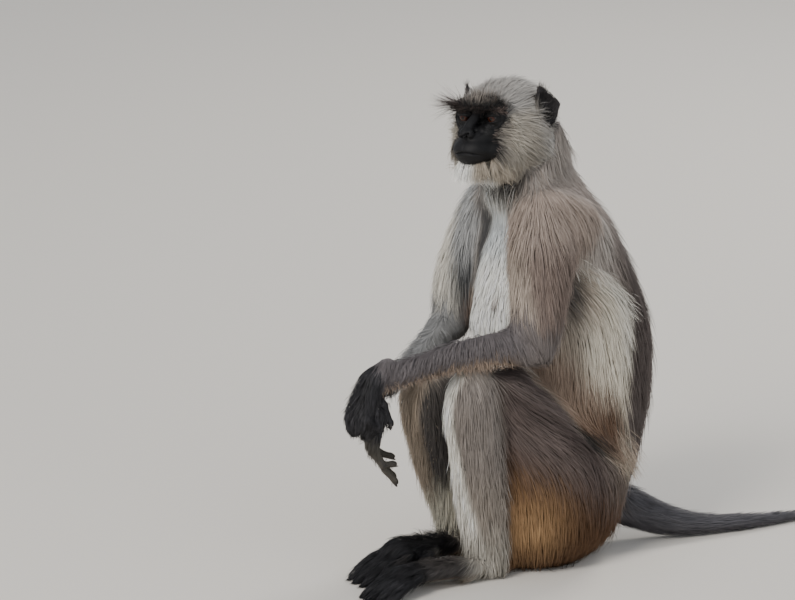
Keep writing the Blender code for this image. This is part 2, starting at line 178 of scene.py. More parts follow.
# %% [markdown]
# ## Shapes to work with
#
# A body part is a tube swept through a few stations, each with its own width and thickness. The
# tube starts as one disc, and each step extrudes the disc's face to the next station. Rounder
# parts are stretched balls. Parts are then fused by a voxel remesh, the way clay is pressed
# together, because a remesh closes every joint and leaves no seam.


# %% Sweeps, balls and clay
def sweep(shape, stations, across, sides=14):
    """Adds a closed tube through (x, y, z, half width, half thickness) stations."""
    places = [Vector(s[:3]) for s in stations]
    turns = []
    for i, station in enumerate(stations):
        ahead = (places[min(i + 1, len(places) - 1)] - places[max(i - 1, 0)]).normalized()
        side = (across - across.project(ahead)).normalized()
        rows = (side * station[3], ahead.cross(side) * station[4], ahead * station[3])
        turns.append(Matrix.Translation(places[i]) @ Matrix(rows).transposed().to_4x4())
    disc = bmesh.ops.create_circle(shape, cap_ends=True, segments=sides, radius=1, matrix=turns[0])
    cap = disc["verts"][0].link_faces[0]
    rim = list(cap.edges)
    for near, far in zip(turns, turns[1:]):
        cap = bmesh.ops.extrude_discrete_faces(shape, faces=[cap])["faces"][0]
        bmesh.ops.transform(shape, matrix=far @ near.inverted(), verts=list(cap.verts))
    bmesh.ops.holes_fill(shape, edges=[e for e in rim if e.is_valid])
    for turn in (turns[0], turns[-1]):
        bmesh.ops.create_icosphere(shape, subdivisions=2, radius=0.96, matrix=turn)


def ball(shape, centre, radii, fine=3):
    """Adds a stretched ball."""
    place = Matrix.Translation(centre) @ Matrix.Diagonal((*radii, 1))
    bmesh.ops.create_icosphere(shape, subdivisions=fine, radius=1, matrix=place)


def new_object(name, shape):
    """An object that takes over a bmesh, with its faces turned outwards."""
    bmesh.ops.recalc_face_normals(shape, faces=shape.faces)
    return placed(name, as_mesh(name, shape))


def applied(thing):
    """Turns the modifiers into the object's own mesh."""
    graph = bpy.context.evaluated_depsgraph_get()
    mesh = bpy.data.meshes.new_from_object(thing.evaluated_get(graph))
    thing.modifiers.clear()
    thing.data = mesh
    return thing


def clay(thing, voxel, passes):
    """Fuses what the object holds into one surface and smooths it."""
    fuse = thing.modifiers.new("fuse", "REMESH")
    fuse.mode = "VOXEL"
    fuse.voxel_size = voxel
    soften = thing.modifiers.new("soften", "SMOOTH")
    soften.factor = 0.5
    soften.iterations = passes
    return applied(thing)


def corners(mesh, what="co"):
    """The vertices' places or normals as an array."""
    values = np.empty(len(mesh.vertices) * 3)
    mesh.vertices.foreach_get(what, values)
    return values.reshape(-1, 3)


def step(low, high, values):
    """0 below low, 1 above high, and a smooth rise between."""
    t = np.clip((values - low) / (high - low), 0, 1)
    return t * t * (3 - 2 * t)


def unit(vectors):
    """The vectors at length 1."""
    return vectors / np.maximum(np.linalg.norm(vectors, axis=1, keepdims=True), 1e-9)


class Neighbours:
    """Averages a value over each vertex's neighbours, again and again, to soften it."""

    def __init__(self, mesh):
        edges = np.empty(len(mesh.edges) * 2, dtype=np.int64)
        mesh.edges.foreach_get("vertices", edges)
        edges = edges.reshape(-1, 2)
        source = np.concatenate((edges[:, 0], edges[:, 1]))
        target = np.concatenate((edges[:, 1], edges[:, 0]))
        order = np.argsort(target, kind="stable")
        self.source = source[order]
        self.starts = np.searchsorted(target[order], np.arange(len(mesh.vertices)))
        self.counts = np.bincount(target, minlength=len(mesh.vertices))[:, None]

    def soften(self, values, times):
        for _ in range(times):
            near = np.add.reduceat(values[self.source], self.starts, axis=0) / self.counts
            values = (values + near) / 2
        return values


# %% [markdown]
# ## The head's own frame
#
# The head is turned to its left and tipped a little, so it is built in an upright frame of its
# own: left, forward and up from the point between the ears. The eyes in the frame record fix it.

# %% The head's own frame
eye_boxes = {side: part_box("eye_" + word) for side, word in SIDES.items()}
eye_middle = {s: (Vector(low) + Vector(high)) / 2 for s, (low, high) in eye_boxes.items()}
EYE_RADIUS = 0.0095
EYE_DEPTH = 0.0415
head_turn = (
    Matrix.Rotation(math.radians(23), 4, "Z")
    @ Matrix.Rotation(math.radians(2), 4, "X")
    @ Matrix.Rotation(math.radians(-5), 4, "Y")
)
head_middle = (eye_middle[LEFT] + eye_middle[RIGHT]) / 2 - head_turn @ Vector((0, -EYE_DEPTH, 0))
head_place = Matrix.Translation(head_middle) @ head_turn
EYE_OUT = (eye_middle[LEFT] - eye_middle[RIGHT]).length / 2
turn_array = np.array(head_turn.to_3x3())
print("eyes", round(EYE_OUT * 2000, 1), "mm apart")


def in_head(places):
    """Places as (out to the left, forward, up) in the head's own frame."""
    local = (places - np.array(head_middle)) @ turn_array
    return local * (1, -1, 1)


def from_head(local):
    """The places of points given in the head's own frame."""
    return (local * (1, -1, 1)) @ turn_array.T + np.array(head_middle)


def at(left, forward, up):
    """A point of the upright head, as the shapes take it."""
    return Vector((left, -forward, up))


# %% [markdown]
# ## Where each part of the body lies
#
# The frame's solids say where every part is. Copies of them, a hair swollen so that neighbours
# overlap, fuse into one outline: the surface that the tips of the coat reach. The solids also
# label every later point with the part it belongs to.

# %% The outline of the coat
FLESH = [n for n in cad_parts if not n.startswith("eye_")]
REMADE = [n for n in FLESH if n.startswith(("head", "ear", "hand", "foot"))]
SWELL = 0.0006



def copied(name, nodes):
    """One object with copies of the named solids, a hair larger all round."""
    shape = as_bmesh(*(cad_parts[node].data for node in nodes))
    bmesh.ops.remove_doubles(shape, verts=shape.verts, dist=0.00001)
    shape.normal_update()
    for vert in shape.verts:
        vert.co += vert.normal * SWELL
    return placed(name, as_mesh(name, shape))


def surface_of(mesh):
    """A search tree over a mesh's faces."""
    return BVHTree.FromPolygons([v.co for v in mesh.vertices], [p.vertices[:] for p in mesh.polygons])


RUFF_FILL = (
    # out, forward, up, radius
    (0.030, -0.034, -0.056, 0.030),
    (0.022, -0.012, -0.066, 0.027),
    (0.000, -0.046, -0.056, 0.034),
)


def ruff_filled(thing, inset=0.0):
    """Fills the fold between the ruff and the neck with balls, on both sides."""
    shape = as_bmesh(thing.data)
    for out, ahead, up, radius in RUFF_FILL:
        for side in SIDES:
            ball(shape, head_place @ at(side * out, ahead, up), [radius - inset] * 3)
    shape.to_mesh(thing.data)
    shape.free()


outline = copied("outline", FLESH)
ruff_filled(outline)
clay(outline, voxel=0.0035, passes=3)
outline_tree = surface_of(outline.data)
print("outline of the coat:", len(outline.data.polygons), "faces")
bpy.data.objects.remove(outline)

label_corners, label_faces, face_label = [], [], []
for index, node in enumerate(FLESH):
    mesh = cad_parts[node].data
    start = len(label_corners)
    label_corners.extend(v.co for v in mesh.vertices)
    label_faces.extend([start + i for i in p.vertices] for p in mesh.polygons)
    face_label.extend([index] * len(mesh.polygons))
label_tree = BVHTree.FromPolygons(label_corners, label_faces)


def labelled(places):
    """The index in FLESH of the part nearest to each place."""
    return np.array([face_label[label_tree.find_nearest(p)[2]] for p in places])


def part_values(values):
    """One row a part of FLESH, looked up by how the part's name starts."""
    return np.array([next(v for word, v in values.items() if n.startswith(word)) for n in FLESH])


def of_parts(labels, *words):
    """True where the label is of a part whose name starts with one of the words."""
    return np.isin(labels, [i for i, n in enumerate(FLESH) if n.startswith(words)])


# %% [markdown]
# ## Trunk, limbs and tail under the coat
#
# The skin lies inside the outline by the depth of the coat: deep on the trunk, where the hair is
# long, and shallow on the forearms and tail. Each point of a fused copy of the solids is moved
# inwards along its normal by its own part's depth, softened across the joints. Three details are
# pressed in as well: the hollow of the armpit, the raised edge where the long hair of the back
# ends over the flank, and the crease along the top of the thigh.

# %% Body
COAT_DEPTH = {
    "head": 0.008, "ear": 0.008, "neck": 0.011, "chest": 0.011, "belly": 0.011,
    "upper_arm": 0.009, "forearm": 0.0055, "hand": 0.008, "thigh": 0.009, "lower_leg": 0.0055,
    "foot": 0.008, "tail_root": 0.007, "tail": 0.0045,
}
# The edge of the dark back over the pale flank, as (height, distance back), from hip to armpit.
FLANK_EDGE = (
    (0.100, 0.030), (0.145, 0.036), (0.165, 0.028), (0.203, 0.026), (0.226, 0.031), (0.261, 0.038),
    (0.291, 0.041), (0.308, 0.036), (0.334, 0.026), (0.356, 0.002), (0.376, -0.030), (0.392, -0.076),
)
ARMPIT_BACK, ARMPIT_HEIGHT = -0.043, 0.342
# The crease between flank and thigh, as (distance back, height), from the knee to the rump.
THIGH_CREASE = (
    (-0.150, 0.246), (-0.127, 0.229), (-0.094, 0.207), (-0.065, 0.183), (-0.045, 0.166),
    (-0.025, 0.150), (0.000, 0.128), (0.030, 0.104), (0.050, 0.098),
)


def flank_edge(height):
    return np.interp(height, *zip(*FLANK_EDGE))


def thigh_crease(back):
    return np.interp(back, *zip(*THIGH_CREASE))


def bump(values, middle, width):
    """1 at the middle, and a smooth fall to both sides."""
    return np.exp(-(((values - middle) / width) ** 2))


def spot(across, up, centre, sizes):
    """1 at a centre, and a smooth fall all round it."""
    return np.exp(-(((across - centre[0]) / sizes[0]) ** 2) - ((up - centre[1]) / sizes[1]) ** 2)


def armpit(places):
    """1 in the hollow behind the arm."""
    x, y, z = places.T
    hollow = spot(y, z, (ARMPIT_BACK, ARMPIT_HEIGHT), (0.019, 0.034))
    return step(0.055, 0.068, np.abs(x)) * hollow


def breast(places):
    """1 on the short-haired front of the chest, which narrows towards the throat."""
    x, y, z = places.T
    half = np.interp(z, (0.30, 0.36, 0.40, 0.44), (0.050, 0.040, 0.024, 0.010))
    return step(-0.050, -0.085, y - 0.5 * np.abs(x)) * step(0.008, -0.008, np.abs(x - 0.006) - half)


def relief(places, labels):
    """How far the details push the skin in (or out, below zero)."""
    x, y, z = places.T
    trunk = of_parts(labels, "chest", "belly")
    edge = bump(y, flank_edge(z), 0.010) * step(0.19, 0.24, z) * step(0.39, 0.37, z)
    crease = bump(z, thigh_crease(y), 0.009) * step(-0.13, -0.10, y) * step(0.02, -0.02, y)
    outer = step(0.045, 0.060, np.abs(x))
    return outer * (0.007 * armpit(places) - 0.0030 * edge * trunk + 0.004 * crease)


body = clay(copied("skin", [n for n in FLESH if n not in REMADE]), voxel=0.004, passes=4)
places = corners(body.data)
labels = labelled(places)
depth = part_values(COAT_DEPTH)[labels] + relief(places, labels)
depth *= 1 - 0.5 * breast(places) * of_parts(labels, "chest")
depth = Neighbours(body.data).soften(depth[:, None], 8)
places -= corners(body.data, "normal") * depth
body.data.vertices.foreach_set("co", places.ravel())
print("trunk, limbs and tail:", len(places), "points")

# %% [markdown]
# The throat and nape are filled out with balls before the head is made, so that it sits on a full
# neck of hair. Two small balls give the nipples, and the end of the far forearm is moved a little
# forward to meet its hand.

# %% Throat, nape and breast
WRIST_SHIFT = 0.009
RUFF_DEPTH = 0.009
NIPPLE = Vector((0.020, -0.114, 0.325))
nape = as_bmesh(body.data)
ball(nape, at(0, -0.036, -0.036), (0.041, 0.036, 0.041))
ball(nape, at(0, 0.006, -0.056), (0.029, 0.034, 0.023))
for side in SIDES:
    ball(nape, at(side * 0.0245, -0.004, -0.030), (0.025, 0.040, 0.032))
nape.verts.ensure_lookup_table()
bmesh.ops.transform(nape, matrix=head_place, verts=nape.verts[len(body.data.vertices):])
for side in SIDES:
    ball(nape, (side * NIPPLE.x, NIPPLE.y, NIPPLE.z), (0.0030, 0.0085, 0.0034))
nape.to_mesh(body.data)
nape.free()
places = corners(body.data)
far_arm = of_parts(labelled(places), "forearm_right", "hand_right")
places[:, 1] -= WRIST_SHIFT * (far_arm * step(-0.185, -0.235, places[:, 1]))
body.data.vertices.foreach_set("co", places.ravel())
ruff_filled(body, RUFF_DEPTH)
body = clay(body, voxel=0.0042, passes=5)
print("body under the coat:", len(body.data.polygons), "faces")

# %% [markdown]
# ## Head
#
# A langur's face is bare, black and broad, with a heavy brow over deep-set eyes, a low nose and a
# short round muzzle. Balls and sweeps give the bones; a fine remesh joins them; then the eyelids,
# lips and nostrils are pressed in, point by point, as with a modelling tool.

# %% Skull and muzzle
MIDDLE_BONES = (
    # (out, forward, up) and radii
    ((0, -0.009, -0.005), (0.044, 0.051, 0.034)),  # braincase
    ((0, 0.026, -0.002), (0.034, 0.022, 0.020)),  # forehead
    ((0, 0.030, -0.014), (0.0315, 0.018, 0.030)),  # middle of the face
    ((-0.0005, 0.0555, -0.0335), (0.0275, 0.0290, 0.0170)),  # muzzle
    ((-0.0005, 0.0590, -0.0412), (0.0225, 0.0238, 0.0126)),  # chin
    ((0, 0.0490, -0.0230), (0.0230, 0.0260, 0.0150)),  # root of the muzzle
    ((0, 0.012, -0.054), (0.028, 0.032, 0.020)),  # throat
)
SIDE_BONES = (
    ((0.0255, 0.002, -0.027), (0.022, 0.036, 0.028)),  # jaw muscle
    ((0.0205, 0.038, -0.037), (0.0165, 0.029, 0.0165)),  # side of the jaw
    ((0.0265, 0.0360, -0.0060), (0.0110, 0.0140, 0.0190)),  # outer rim of the eye socket
    ((0.0130, 0.0460, -0.0170), (0.0150, 0.0150, 0.0130)),  # cheek beside the nose
    ((0.0066, 0.0745, -0.0130), (0.0048, 0.0062, 0.0058)),  # wing of the nose
    ((EYE_OUT, EYE_DEPTH - 0.0030, 0.0005), (0.0134, 0.0128, 0.0118)),  # lids
)
NOSE_TIP = ((0, 0.0782, -0.0130), (0.0070, 0.0052, 0.0050))
NOSE_RIDGE = (
    # forward, up, half width, half thickness
    (0.0440, 0.0060, 0.0050, 0.0055),
    (0.0540, 0.0005, 0.0055, 0.0060),
    (0.0665, -0.0060, 0.0066, 0.0062),
    (0.0770, -0.0114, 0.0070, 0.0052),
)
BROW_ARCH = [
    (out, 9.0 * out * out - 0.0475, 0.0125 - 3.0 * out * out, 0.0050, 0.0062)
    for out in (-0.032, -0.024, -0.016, -0.008, 0, 0.008, 0.016, 0.024, 0.032)
]
skull = bmesh.new()
for place, radii in MIDDLE_BONES:
    ball(skull, at(*place), radii)
sweep(skull, BROW_ARCH, Vector((0, 0, 1)))
ridge = [(*at(0, ahead, up), width, thickness) for ahead, up, width, thickness in NOSE_RIDGE]
sweep(skull, ridge, Vector((1, 0, 0)))
ball(skull, at(*NOSE_TIP[0]), NOSE_TIP[1])
for side in SIDES:
    for (out, ahead, up), radii in SIDE_BONES:
        ball(skull, at(side * out, ahead, up), radii)
print("skull and muzzle:", len(skull.faces), "faces")

# %% [markdown]
# The ear is a thin leaf with a pointed top, an angled rear rim and a hollow that faces out and
# forward. It starts as a flattened ball; its points are then moved to narrow the top, to press
# the hollow and to roll the rim over it.

# %% Ears
EAR_HALF = (0.0030, 0.0150, 0.0245)
EAR_PLACE = (0.0545, 0.0170, 0.0020)
FAR_EAR_HEIGHT = 0.86
lean = Matrix.Rotation(math.radians(-26), 4, "Z") @ Matrix.Rotation(math.radians(8), 4, "X")
for side in SIDES:
    ear = bmesh.new()
    ball(ear, (0, 0, 0), EAR_HALF, fine=4)
    for vert in ear.verts:
        y, z = vert.co.y / EAR_HALF[1], vert.co.z / EAR_HALF[2]
        reach = math.hypot(y, z)
        outer = vert.co.x > 0
        hollow = max(1 - (reach / 0.80) ** 2, 0) * 0.0040
        rim = math.exp(-(((reach - 0.88) / 0.10) ** 2)) * 0.0014
        vert.co.x += -hollow * (0.9 if outer else 0.6) + rim * outer + 0.0030 * y * y
        above, below = max(z, 0), max(-z, 0)
        vert.co.y = vert.co.y * (1 - 0.50 * above**1.2 - 0.25 * below**2) - 0.0040 * above
        vert.co.y += 0.0026 * max(1 - 2.5 * abs(z), 0) * max(y, 0)
        vert.co.z += 0.0030 * above**4
    bmesh.ops.transform(ear, matrix=Matrix.Translation(EAR_PLACE) @ lean, verts=ear.verts)
    if side == RIGHT:
        mirror = Matrix.Diagonal((-1, 1, FAR_EAR_HEIGHT, 1))
        bmesh.ops.transform(ear, matrix=mirror, verts=ear.verts)
        bmesh.ops.reverse_faces(ear, faces=ear.faces)
    skull.from_mesh(as_mesh("ear", ear))
head = clay(new_object("head_skin", skull), voxel=0.0013, passes=4)
print("head:", len(head.data.polygons), "faces")

# %% [markdown]
# The bare face needs finer points than the rest of the head, so the faces in front of the cheeks
# are subdivided once more before the details are pressed in: a short soft mouth, slanting
# nostrils, the groove of the lip, folds from nose to cheek, and two folds under each eye.

# %% Mouth, nostrils and folds
face = as_bmesh(head.data)
near_face = [
    e for e in face.edges
    if all(-v.co.y > 0.036 and abs(v.co.x) < 0.034 and -0.058 < v.co.z < 0.016 for v in e.verts)
]
bmesh.ops.subdivide_edges(face, edges=near_face, cuts=1, use_grid_fill=True)
bmesh.ops.triangulate(face, faces=[f for f in face.faces if len(f.verts) > 4])
places = np.array([v.co for v in face.verts]) * (1, -1, 1)
face.normal_update()
front_held = bpy.data.meshes.new("front")
face.to_mesh(front_held)
beside = Neighbours(front_held)


def smoothed(places, times, share):
    """The places moved towards their neighbours' by a share of their own each."""
    return places + (beside.soften(places, times) - places) * share[:, None]


left, ahead, up = places.T
fleshy = step(0.034, 0.044, ahead) * step(-0.004, -0.014, up) * step(0.036, 0.030, np.abs(left))
nose = 0.85 * step(0.012, 0.008, np.abs(left)) * step(-0.021, -0.018, up) * step(0.058, 0.064, ahead)
places = smoothed(places, 40, fleshy * (1 - nose))
pushes = np.array([v.normal for v in face.verts]) * (1, -1, 1)


def groove(across, along, width, reach):
    """A soft-edged furrow: full depth on its line, and fading past its ends."""
    return np.exp(-((across / width) ** 2)) * (1 - step(reach * 0.6, reach, np.abs(along)))


left, ahead, up = places.T
front = step(0.040, 0.052, ahead)
mouth_line = -0.0345 - 14.0 * left**2
# The mouth, then the swell of the lower and the upper lip, then the groove under the nose.
cut = 0.0022 * groove(up - mouth_line, left, 0.0009, 0.0205) * front
cut -= 0.0010 * groove(up - mouth_line + 0.0034, left, 0.0022, 0.0165) * front
cut -= 0.0005 * groove(up - mouth_line - 0.0030, left, 0.0022, 0.0165) * front
cut += 0.0005 * groove(left, up + 0.0255, 0.0013, 0.0070) * step(0.062, 0.070, ahead)
for side in SIDES:
    out = left * side
    slit = (up + 0.0140) * 0.66 - (out - 0.0046) * 0.75
    along = (up + 0.0140) * 0.75 + (out - 0.0046) * 0.66
    comma = 0.0016 - 0.10 * along
    cut += 0.0055 * groove(slit / comma * 0.0016, along, 0.0016, 0.0052) * step(0.060, 0.065, ahead)
    wing = np.hypot((out - 0.0046) * 0.75, up + 0.0125) - 0.0072
    cut += 0.0008 * groove(wing, up + 0.0125, 0.0012, 0.0090) * step(0.002, 0.006, out) * front
    crease = (out - 0.0135) + (up + 0.0165) * 0.60
    cut += 0.0007 * groove(crease, up + 0.024, 0.0034, 0.0130) * front
    for ring, deep, wide in ((0.0130, 0.0013, 0.0014), (0.0168, 0.0009, 0.0018)):
        fold = bump(np.hypot(out - EYE_OUT, (up - 0.0005) * 1.15), ring, wide)
        cut += deep * fold * step(-0.001, -0.005, up) * step(0.034, 0.040, ahead)
places -= pushes * cut[:, None]
under_eyes = step(-0.006, -0.010, up) * step(0.009, 0.015, np.abs(left)) * step(0.026, 0.034, ahead)
places = smoothed(places, 7, under_eyes * step(-0.028, -0.024, up))
left, ahead, up = places.T
beyond_lips = step(0.036, 0.042, ahead) * step(0.0028, 0.0040, np.abs(up - mouth_line))
places = smoothed(places, 2, beyond_lips)
print("points of the head:", len(places))

# %% [markdown]
# The lids fit the eyes. Points in the almond-shaped opening sink behind the front of the eye, and
# those round it are drawn to a thin even lid over the eye.

# %% Lids
LID_THICK = 0.0013
for side in SIDES:
    centre = np.array((side * EYE_OUT, EYE_DEPTH, 0))
    from_eye = places - centre
    reach = np.linalg.norm(from_eye, axis=1)
    out, ahead, up = (from_eye / reach[:, None]).T
    out = out * side
    level = up - 0.10 * out + 0.02
    wide = np.where(out < 0, 0.88, 0.78)
    half = np.where(level > 0, 0.27, 0.34) * np.sqrt(np.clip(1 - (out / wide) ** 2, 0, 1)) + 0.01
    facing = (ahead > 0.25) & (reach < 0.0168)
    inside = facing & (np.abs(level) < half) & (np.abs(out) < wide)
    lid = facing & ~inside
    rim = np.hypot(out / wide, level / 0.33)
    near_rim = EYE_RADIUS + LID_THICK + 0.0012 * step(1.05, 1.5, rim) - 0.0006 * bump(rim, 1.55, 0.12)
    wanted = np.where(inside, EYE_RADIUS - 0.0014, near_rim)
    blend = np.where(inside, 1.0, np.where(lid, 1 - step(1.3, 2.2, rim), 0.0))
    places = centre + from_eye * (1 + (wanted / reach - 1) * blend)[:, None]

for vert, place in zip(face.verts, places * (1, -1, 1)):
    vert.co = place
face.to_mesh(head.data)
face.free()
head.data.transform(head_place)
print("head with its face:", len(head.data.polygons), "faces")

# %% [markdown]
# ## Hands and feet
#
# The near hand is half closed and the far one hangs loose. Each finger is one sweep through its
# joints, a little thicker at the knuckles, and turned further towards the palm at each one. The
# feet lie flat, with long gripping toes and a great toe that stands off like a thumb.

# %% Digits
FINGERS = (
    (0.027, 0.018, 0.016),
    (0.034, 0.025, 0.018),
    (0.036, 0.026, 0.019),
    (0.031, 0.021, 0.017),
)
TOE = (0.030, 0.022, 0.017)
TOE_SHARES = (0.82, 0.96, 1.0, 0.90)
FINGER_GAP, TOE_GAP = 0.0100, 0.0102
nail_places = []


def digit(shape, base, along, palmar, lengths, bends, radius):
    """A finger or toe; its last joint's place is kept for the nail."""
    stations = [(*base, radius * 1.02, radius * 1.02)]
    place, angle = Vector(base), 0.0
    for k, (length, bend) in enumerate(zip(lengths, bends)):
        angle += math.radians(bend)
        way = along * math.cos(angle) + palmar * math.sin(angle)
        size = radius * (1 - 0.09 * (k + 1))
        for share, bulge in ((0.50, 0.93), (0.85, 1.04), (1.0, 1.05 if k < len(lengths) - 1 else 0.86)):
            middle = place + way * length * share
            stations.append((*middle, size * bulge, size * bulge * 0.94))
        place += way * length
    sweep(shape, stations, along.cross(palmar), sides=12)
    back = palmar * math.cos(angle) - along * math.sin(angle)
    nail_places.append((place - way * 0.0015 - back * size * 0.72, way, -back, size))


# %% Hands and feet
def hand(side, wrist, knuckles, bends, splay, grip, slim, thumb_down, reach):
    """A hand from wrist to finger tips.

    Splay fans the fingers, grip fills the fist, slim narrows the palm, and reach scales the fingers.
    """
    shape = bmesh.new()
    wrist, knuckles = Vector(wrist), Vector(knuckles)
    along = (knuckles - wrist).normalized()
    across = Vector((1, 0, 0))
    across = (across - across.project(along)).normalized()
    palmar = along.cross(across)
    palmar = palmar if palmar.y > 0 else -palmar
    sweep(shape, [
        (*(wrist - along * 0.020 + palmar * 0.012), 0.0110 * slim, 0.0105 * slim),
        (*wrist, 0.0140 * slim, 0.0135 * slim),
        (*wrist.lerp(knuckles, 0.5), 0.0178 * slim, 0.0130 * slim),
        (*knuckles, 0.0182 * slim, 0.0100 * slim),
    ], across)
    for k, (parts, bend) in enumerate(zip(FINGERS, bends)):
        offset = (1.5 - k) * side * FINGER_GAP * slim
        way = (along + across * offset * splay).normalized()
        base = knuckles + across * offset - along * 0.006
        digit(shape, base, way, palmar, [length * reach for length in parts], bend, 0.0062)
    if grip:
        ball(shape, knuckles + palmar * 0.012 - along * 0.002, (grip * 1.7, grip * 1.15, grip * 1.3))
    thumb = wrist + along * thumb_down - across * side * 0.015 * slim + palmar * 0.004
    thumb_way = (along - across * side * 0.30 + palmar * 0.12).normalized()
    digit(shape, thumb, thumb_way, palmar, (0.013, 0.011), (5, 15), 0.0056)
    return clay(new_object("hand_" + SIDES[side], shape), voxel=0.0014, passes=2)


def foot(side, heel, ball_of_foot, toe_way, depths):
    """A foot from heel to toe tips; the depths are those of its middle and of its front."""
    shape = bmesh.new()
    heel, front, toe_way = Vector(heel), Vector(ball_of_foot), Vector(toe_way).normalized()
    along = (front - heel).normalized()
    across = Vector((-along.y, along.x, 0)).normalized()
    down = Vector((0, 0, -1))
    sweep(shape, [
        (*heel, 0.0140, 0.0125),
        (*heel.lerp(front, 0.30), 0.0145, depths[0] * 0.66),
        (*heel.lerp(front, 0.65), 0.0160, depths[0] * 0.62),
        (*front, 0.0170, depths[1] * 0.66),
    ], across)
    fan = Vector((-toe_way.y, toe_way.x, 0)).normalized()
    for k, share in enumerate(TOE_SHARES):
        offset = (1.5 - k) * side * TOE_GAP
        base = front + across * offset - along * 0.004
        way = (toe_way + fan * offset * 9).normalized()
        parts = [length * share for length in TOE]
        digit(shape, base, way, down, parts, (0, 14, 10), 0.0064)
    great = heel.lerp(front, 0.58) - across * side * 0.014
    great_way = (along - across * side * 0.42 + down * 0.15).normalized()
    digit(shape, great, great_way, down, (0.028, 0.024), (4, 10), 0.0072)
    return clay(new_object("foot_" + SIDES[side], shape), voxel=0.0015, passes=2)


# How far each joint of each finger is bent, in degrees.
FIST = ((76, 104, 62), (74, 106, 62), (74, 106, 62), (70, 104, 60))
LIMP = ((10, 50, 20), (4, 42, 8), (2, 40, 6), (-10, 46, 60))
near_hand = hand(
    LEFT, wrist=(0.043, -0.301, 0.263), knuckles=(0.041, -0.322, 0.215), bends=FIST,
    splay=3, grip=0.0110, slim=1.0, thumb_down=0.030, reach=0.74,
)
far_hand = hand(
    RIGHT, wrist=(-0.030, -0.252, 0.226), knuckles=(-0.023, -0.2595, 0.181), bends=LIMP,
    splay=0, grip=0.0, slim=0.80, thumb_down=0.016, reach=1.0,
)
near_foot = foot(
    LEFT, heel=(0.055, -0.135, 0.014), ball_of_foot=(0.061, -0.262, 0.022),
    toe_way=(0.22, -1, -0.20), depths=(0.017, 0.015),
)
far_foot = foot(
    RIGHT, heel=(-0.040, -0.117, 0.014), ball_of_foot=(-0.007, -0.236, 0.027),
    toe_way=(0.20, -1, -0.25), depths=(0.018, 0.026),
)
print("nails to set:", len(nail_places))

# %% [markdown]
# ## One skin
#
# Body, head, hands and feet are joined by a Boolean union, which leaves a single closed surface.
# Nothing may reach below the floor, so the few points that do are lifted onto it.

# %% The joined skin
FLOOR_GAP = 0.0004
skin = body
for piece in (head, near_hand, far_hand, near_foot, far_foot):
    union = skin.modifiers.new("join", "BOOLEAN")
    union.operation = "UNION"
    union.solver = "EXACT"
    union.object = piece
    applied(skin)
    bpy.data.objects.remove(piece)
whole = as_bmesh(skin.data)
bmesh.ops.triangulate(whole, faces=whole.faces)
for vert in whole.verts:
    vert.co.z = max(vert.co.z, FLOOR_GAP)
whole.to_mesh(skin.data)
whole.free()
skin.name = skin.data.name = "skin"
skin.data.shade_smooth()
print("skin:", len(skin.data.polygons), "triangles")

# %% [markdown]
# The coat's bake map needs to know where each lock's root lies on a flat layout of the skin, so
# the skin is unwrapped now, by its own shape.

# %% Unwrap
bpy.context.view_layer.objects.active = skin
skin.select_set(True)
bpy.ops.object.mode_set(mode="EDIT")
bpy.ops.mesh.select_all(action="SELECT")
bpy.ops.uv.smart_project(angle_limit=math.radians(60), island_margin=0.001)
bpy.ops.object.mode_set(mode="OBJECT")
flat = np.empty(len(skin.data.loops) * 2)
skin.data.uv_layers.active.data.foreach_get("uv", flat)
flat = flat.reshape(-1, 3, 2)
print("unwrapped corners:", flat.shape[0] * 3)

# %% [markdown]
# ## The lie of the coat
#
# Hair grows away from the face, runs down the neck and back, down each limb to the wrist or
# ankle, and out along the tail. Each point of the skin gets a direction from its own part's rule;
# the directions are then softened over the skin, so that one part's hair flows into the next.

# %% Directions over the skin
skin_at = corners(skin.data)
skin_normal = corners(skin.data, "normal")
labels = labelled(skin_at)
neighbours = Neighbours(skin.data)
on_part = {n: labels == i for i, n in enumerate(FLESH)}
TAIL_ROUTE = np.array((
    (0.000, 0.040, 0.060), (0.008, 0.078, 0.046), (0.026, 0.118, 0.026), (0.042, 0.165, 0.014),
    (0.052, 0.230, 0.010), (0.055, 0.300, 0.007), (0.049, 0.380, 0.007), (0.027, 0.455, 0.007),
    (-0.014, 0.527, 0.007), (-0.072, 0.579, 0.007), (-0.136, 0.602, 0.008), (-0.196, 0.600, 0.008),
    (-0.236, 0.584, 0.006),
))


def softened(values, times):
    """One number a point of the skin, softened over its neighbours."""
    return neighbours.soften(values[:, None], times)[:, 0]


def columns(*values):
    """Numbers and arrays side by side, one row a place."""
    return np.stack(np.broadcast_arrays(*values), 1)


def head_flow(places):
    """Away from the middle of the face on all sides, more and more downwards to the rear."""
    left, ahead, up = in_head(places).T
    flow = unit(columns(left * 1.15, ahead - 0.060, up + 0.018))
    flow[:, 2] -= 0.10 + 0.42 * step(0.012, -0.020, up) + 1.10 * step(0.0, -0.040, ahead)
    beard = columns(left * 9, 0.28, -1)
    under = (step(-0.043, -0.056, up) * step(0.004, 0.036, ahead))[:, None]
    flow = flow * (1 - under) + beard * under
    return (flow * (1, -1, 1)) @ turn_array.T


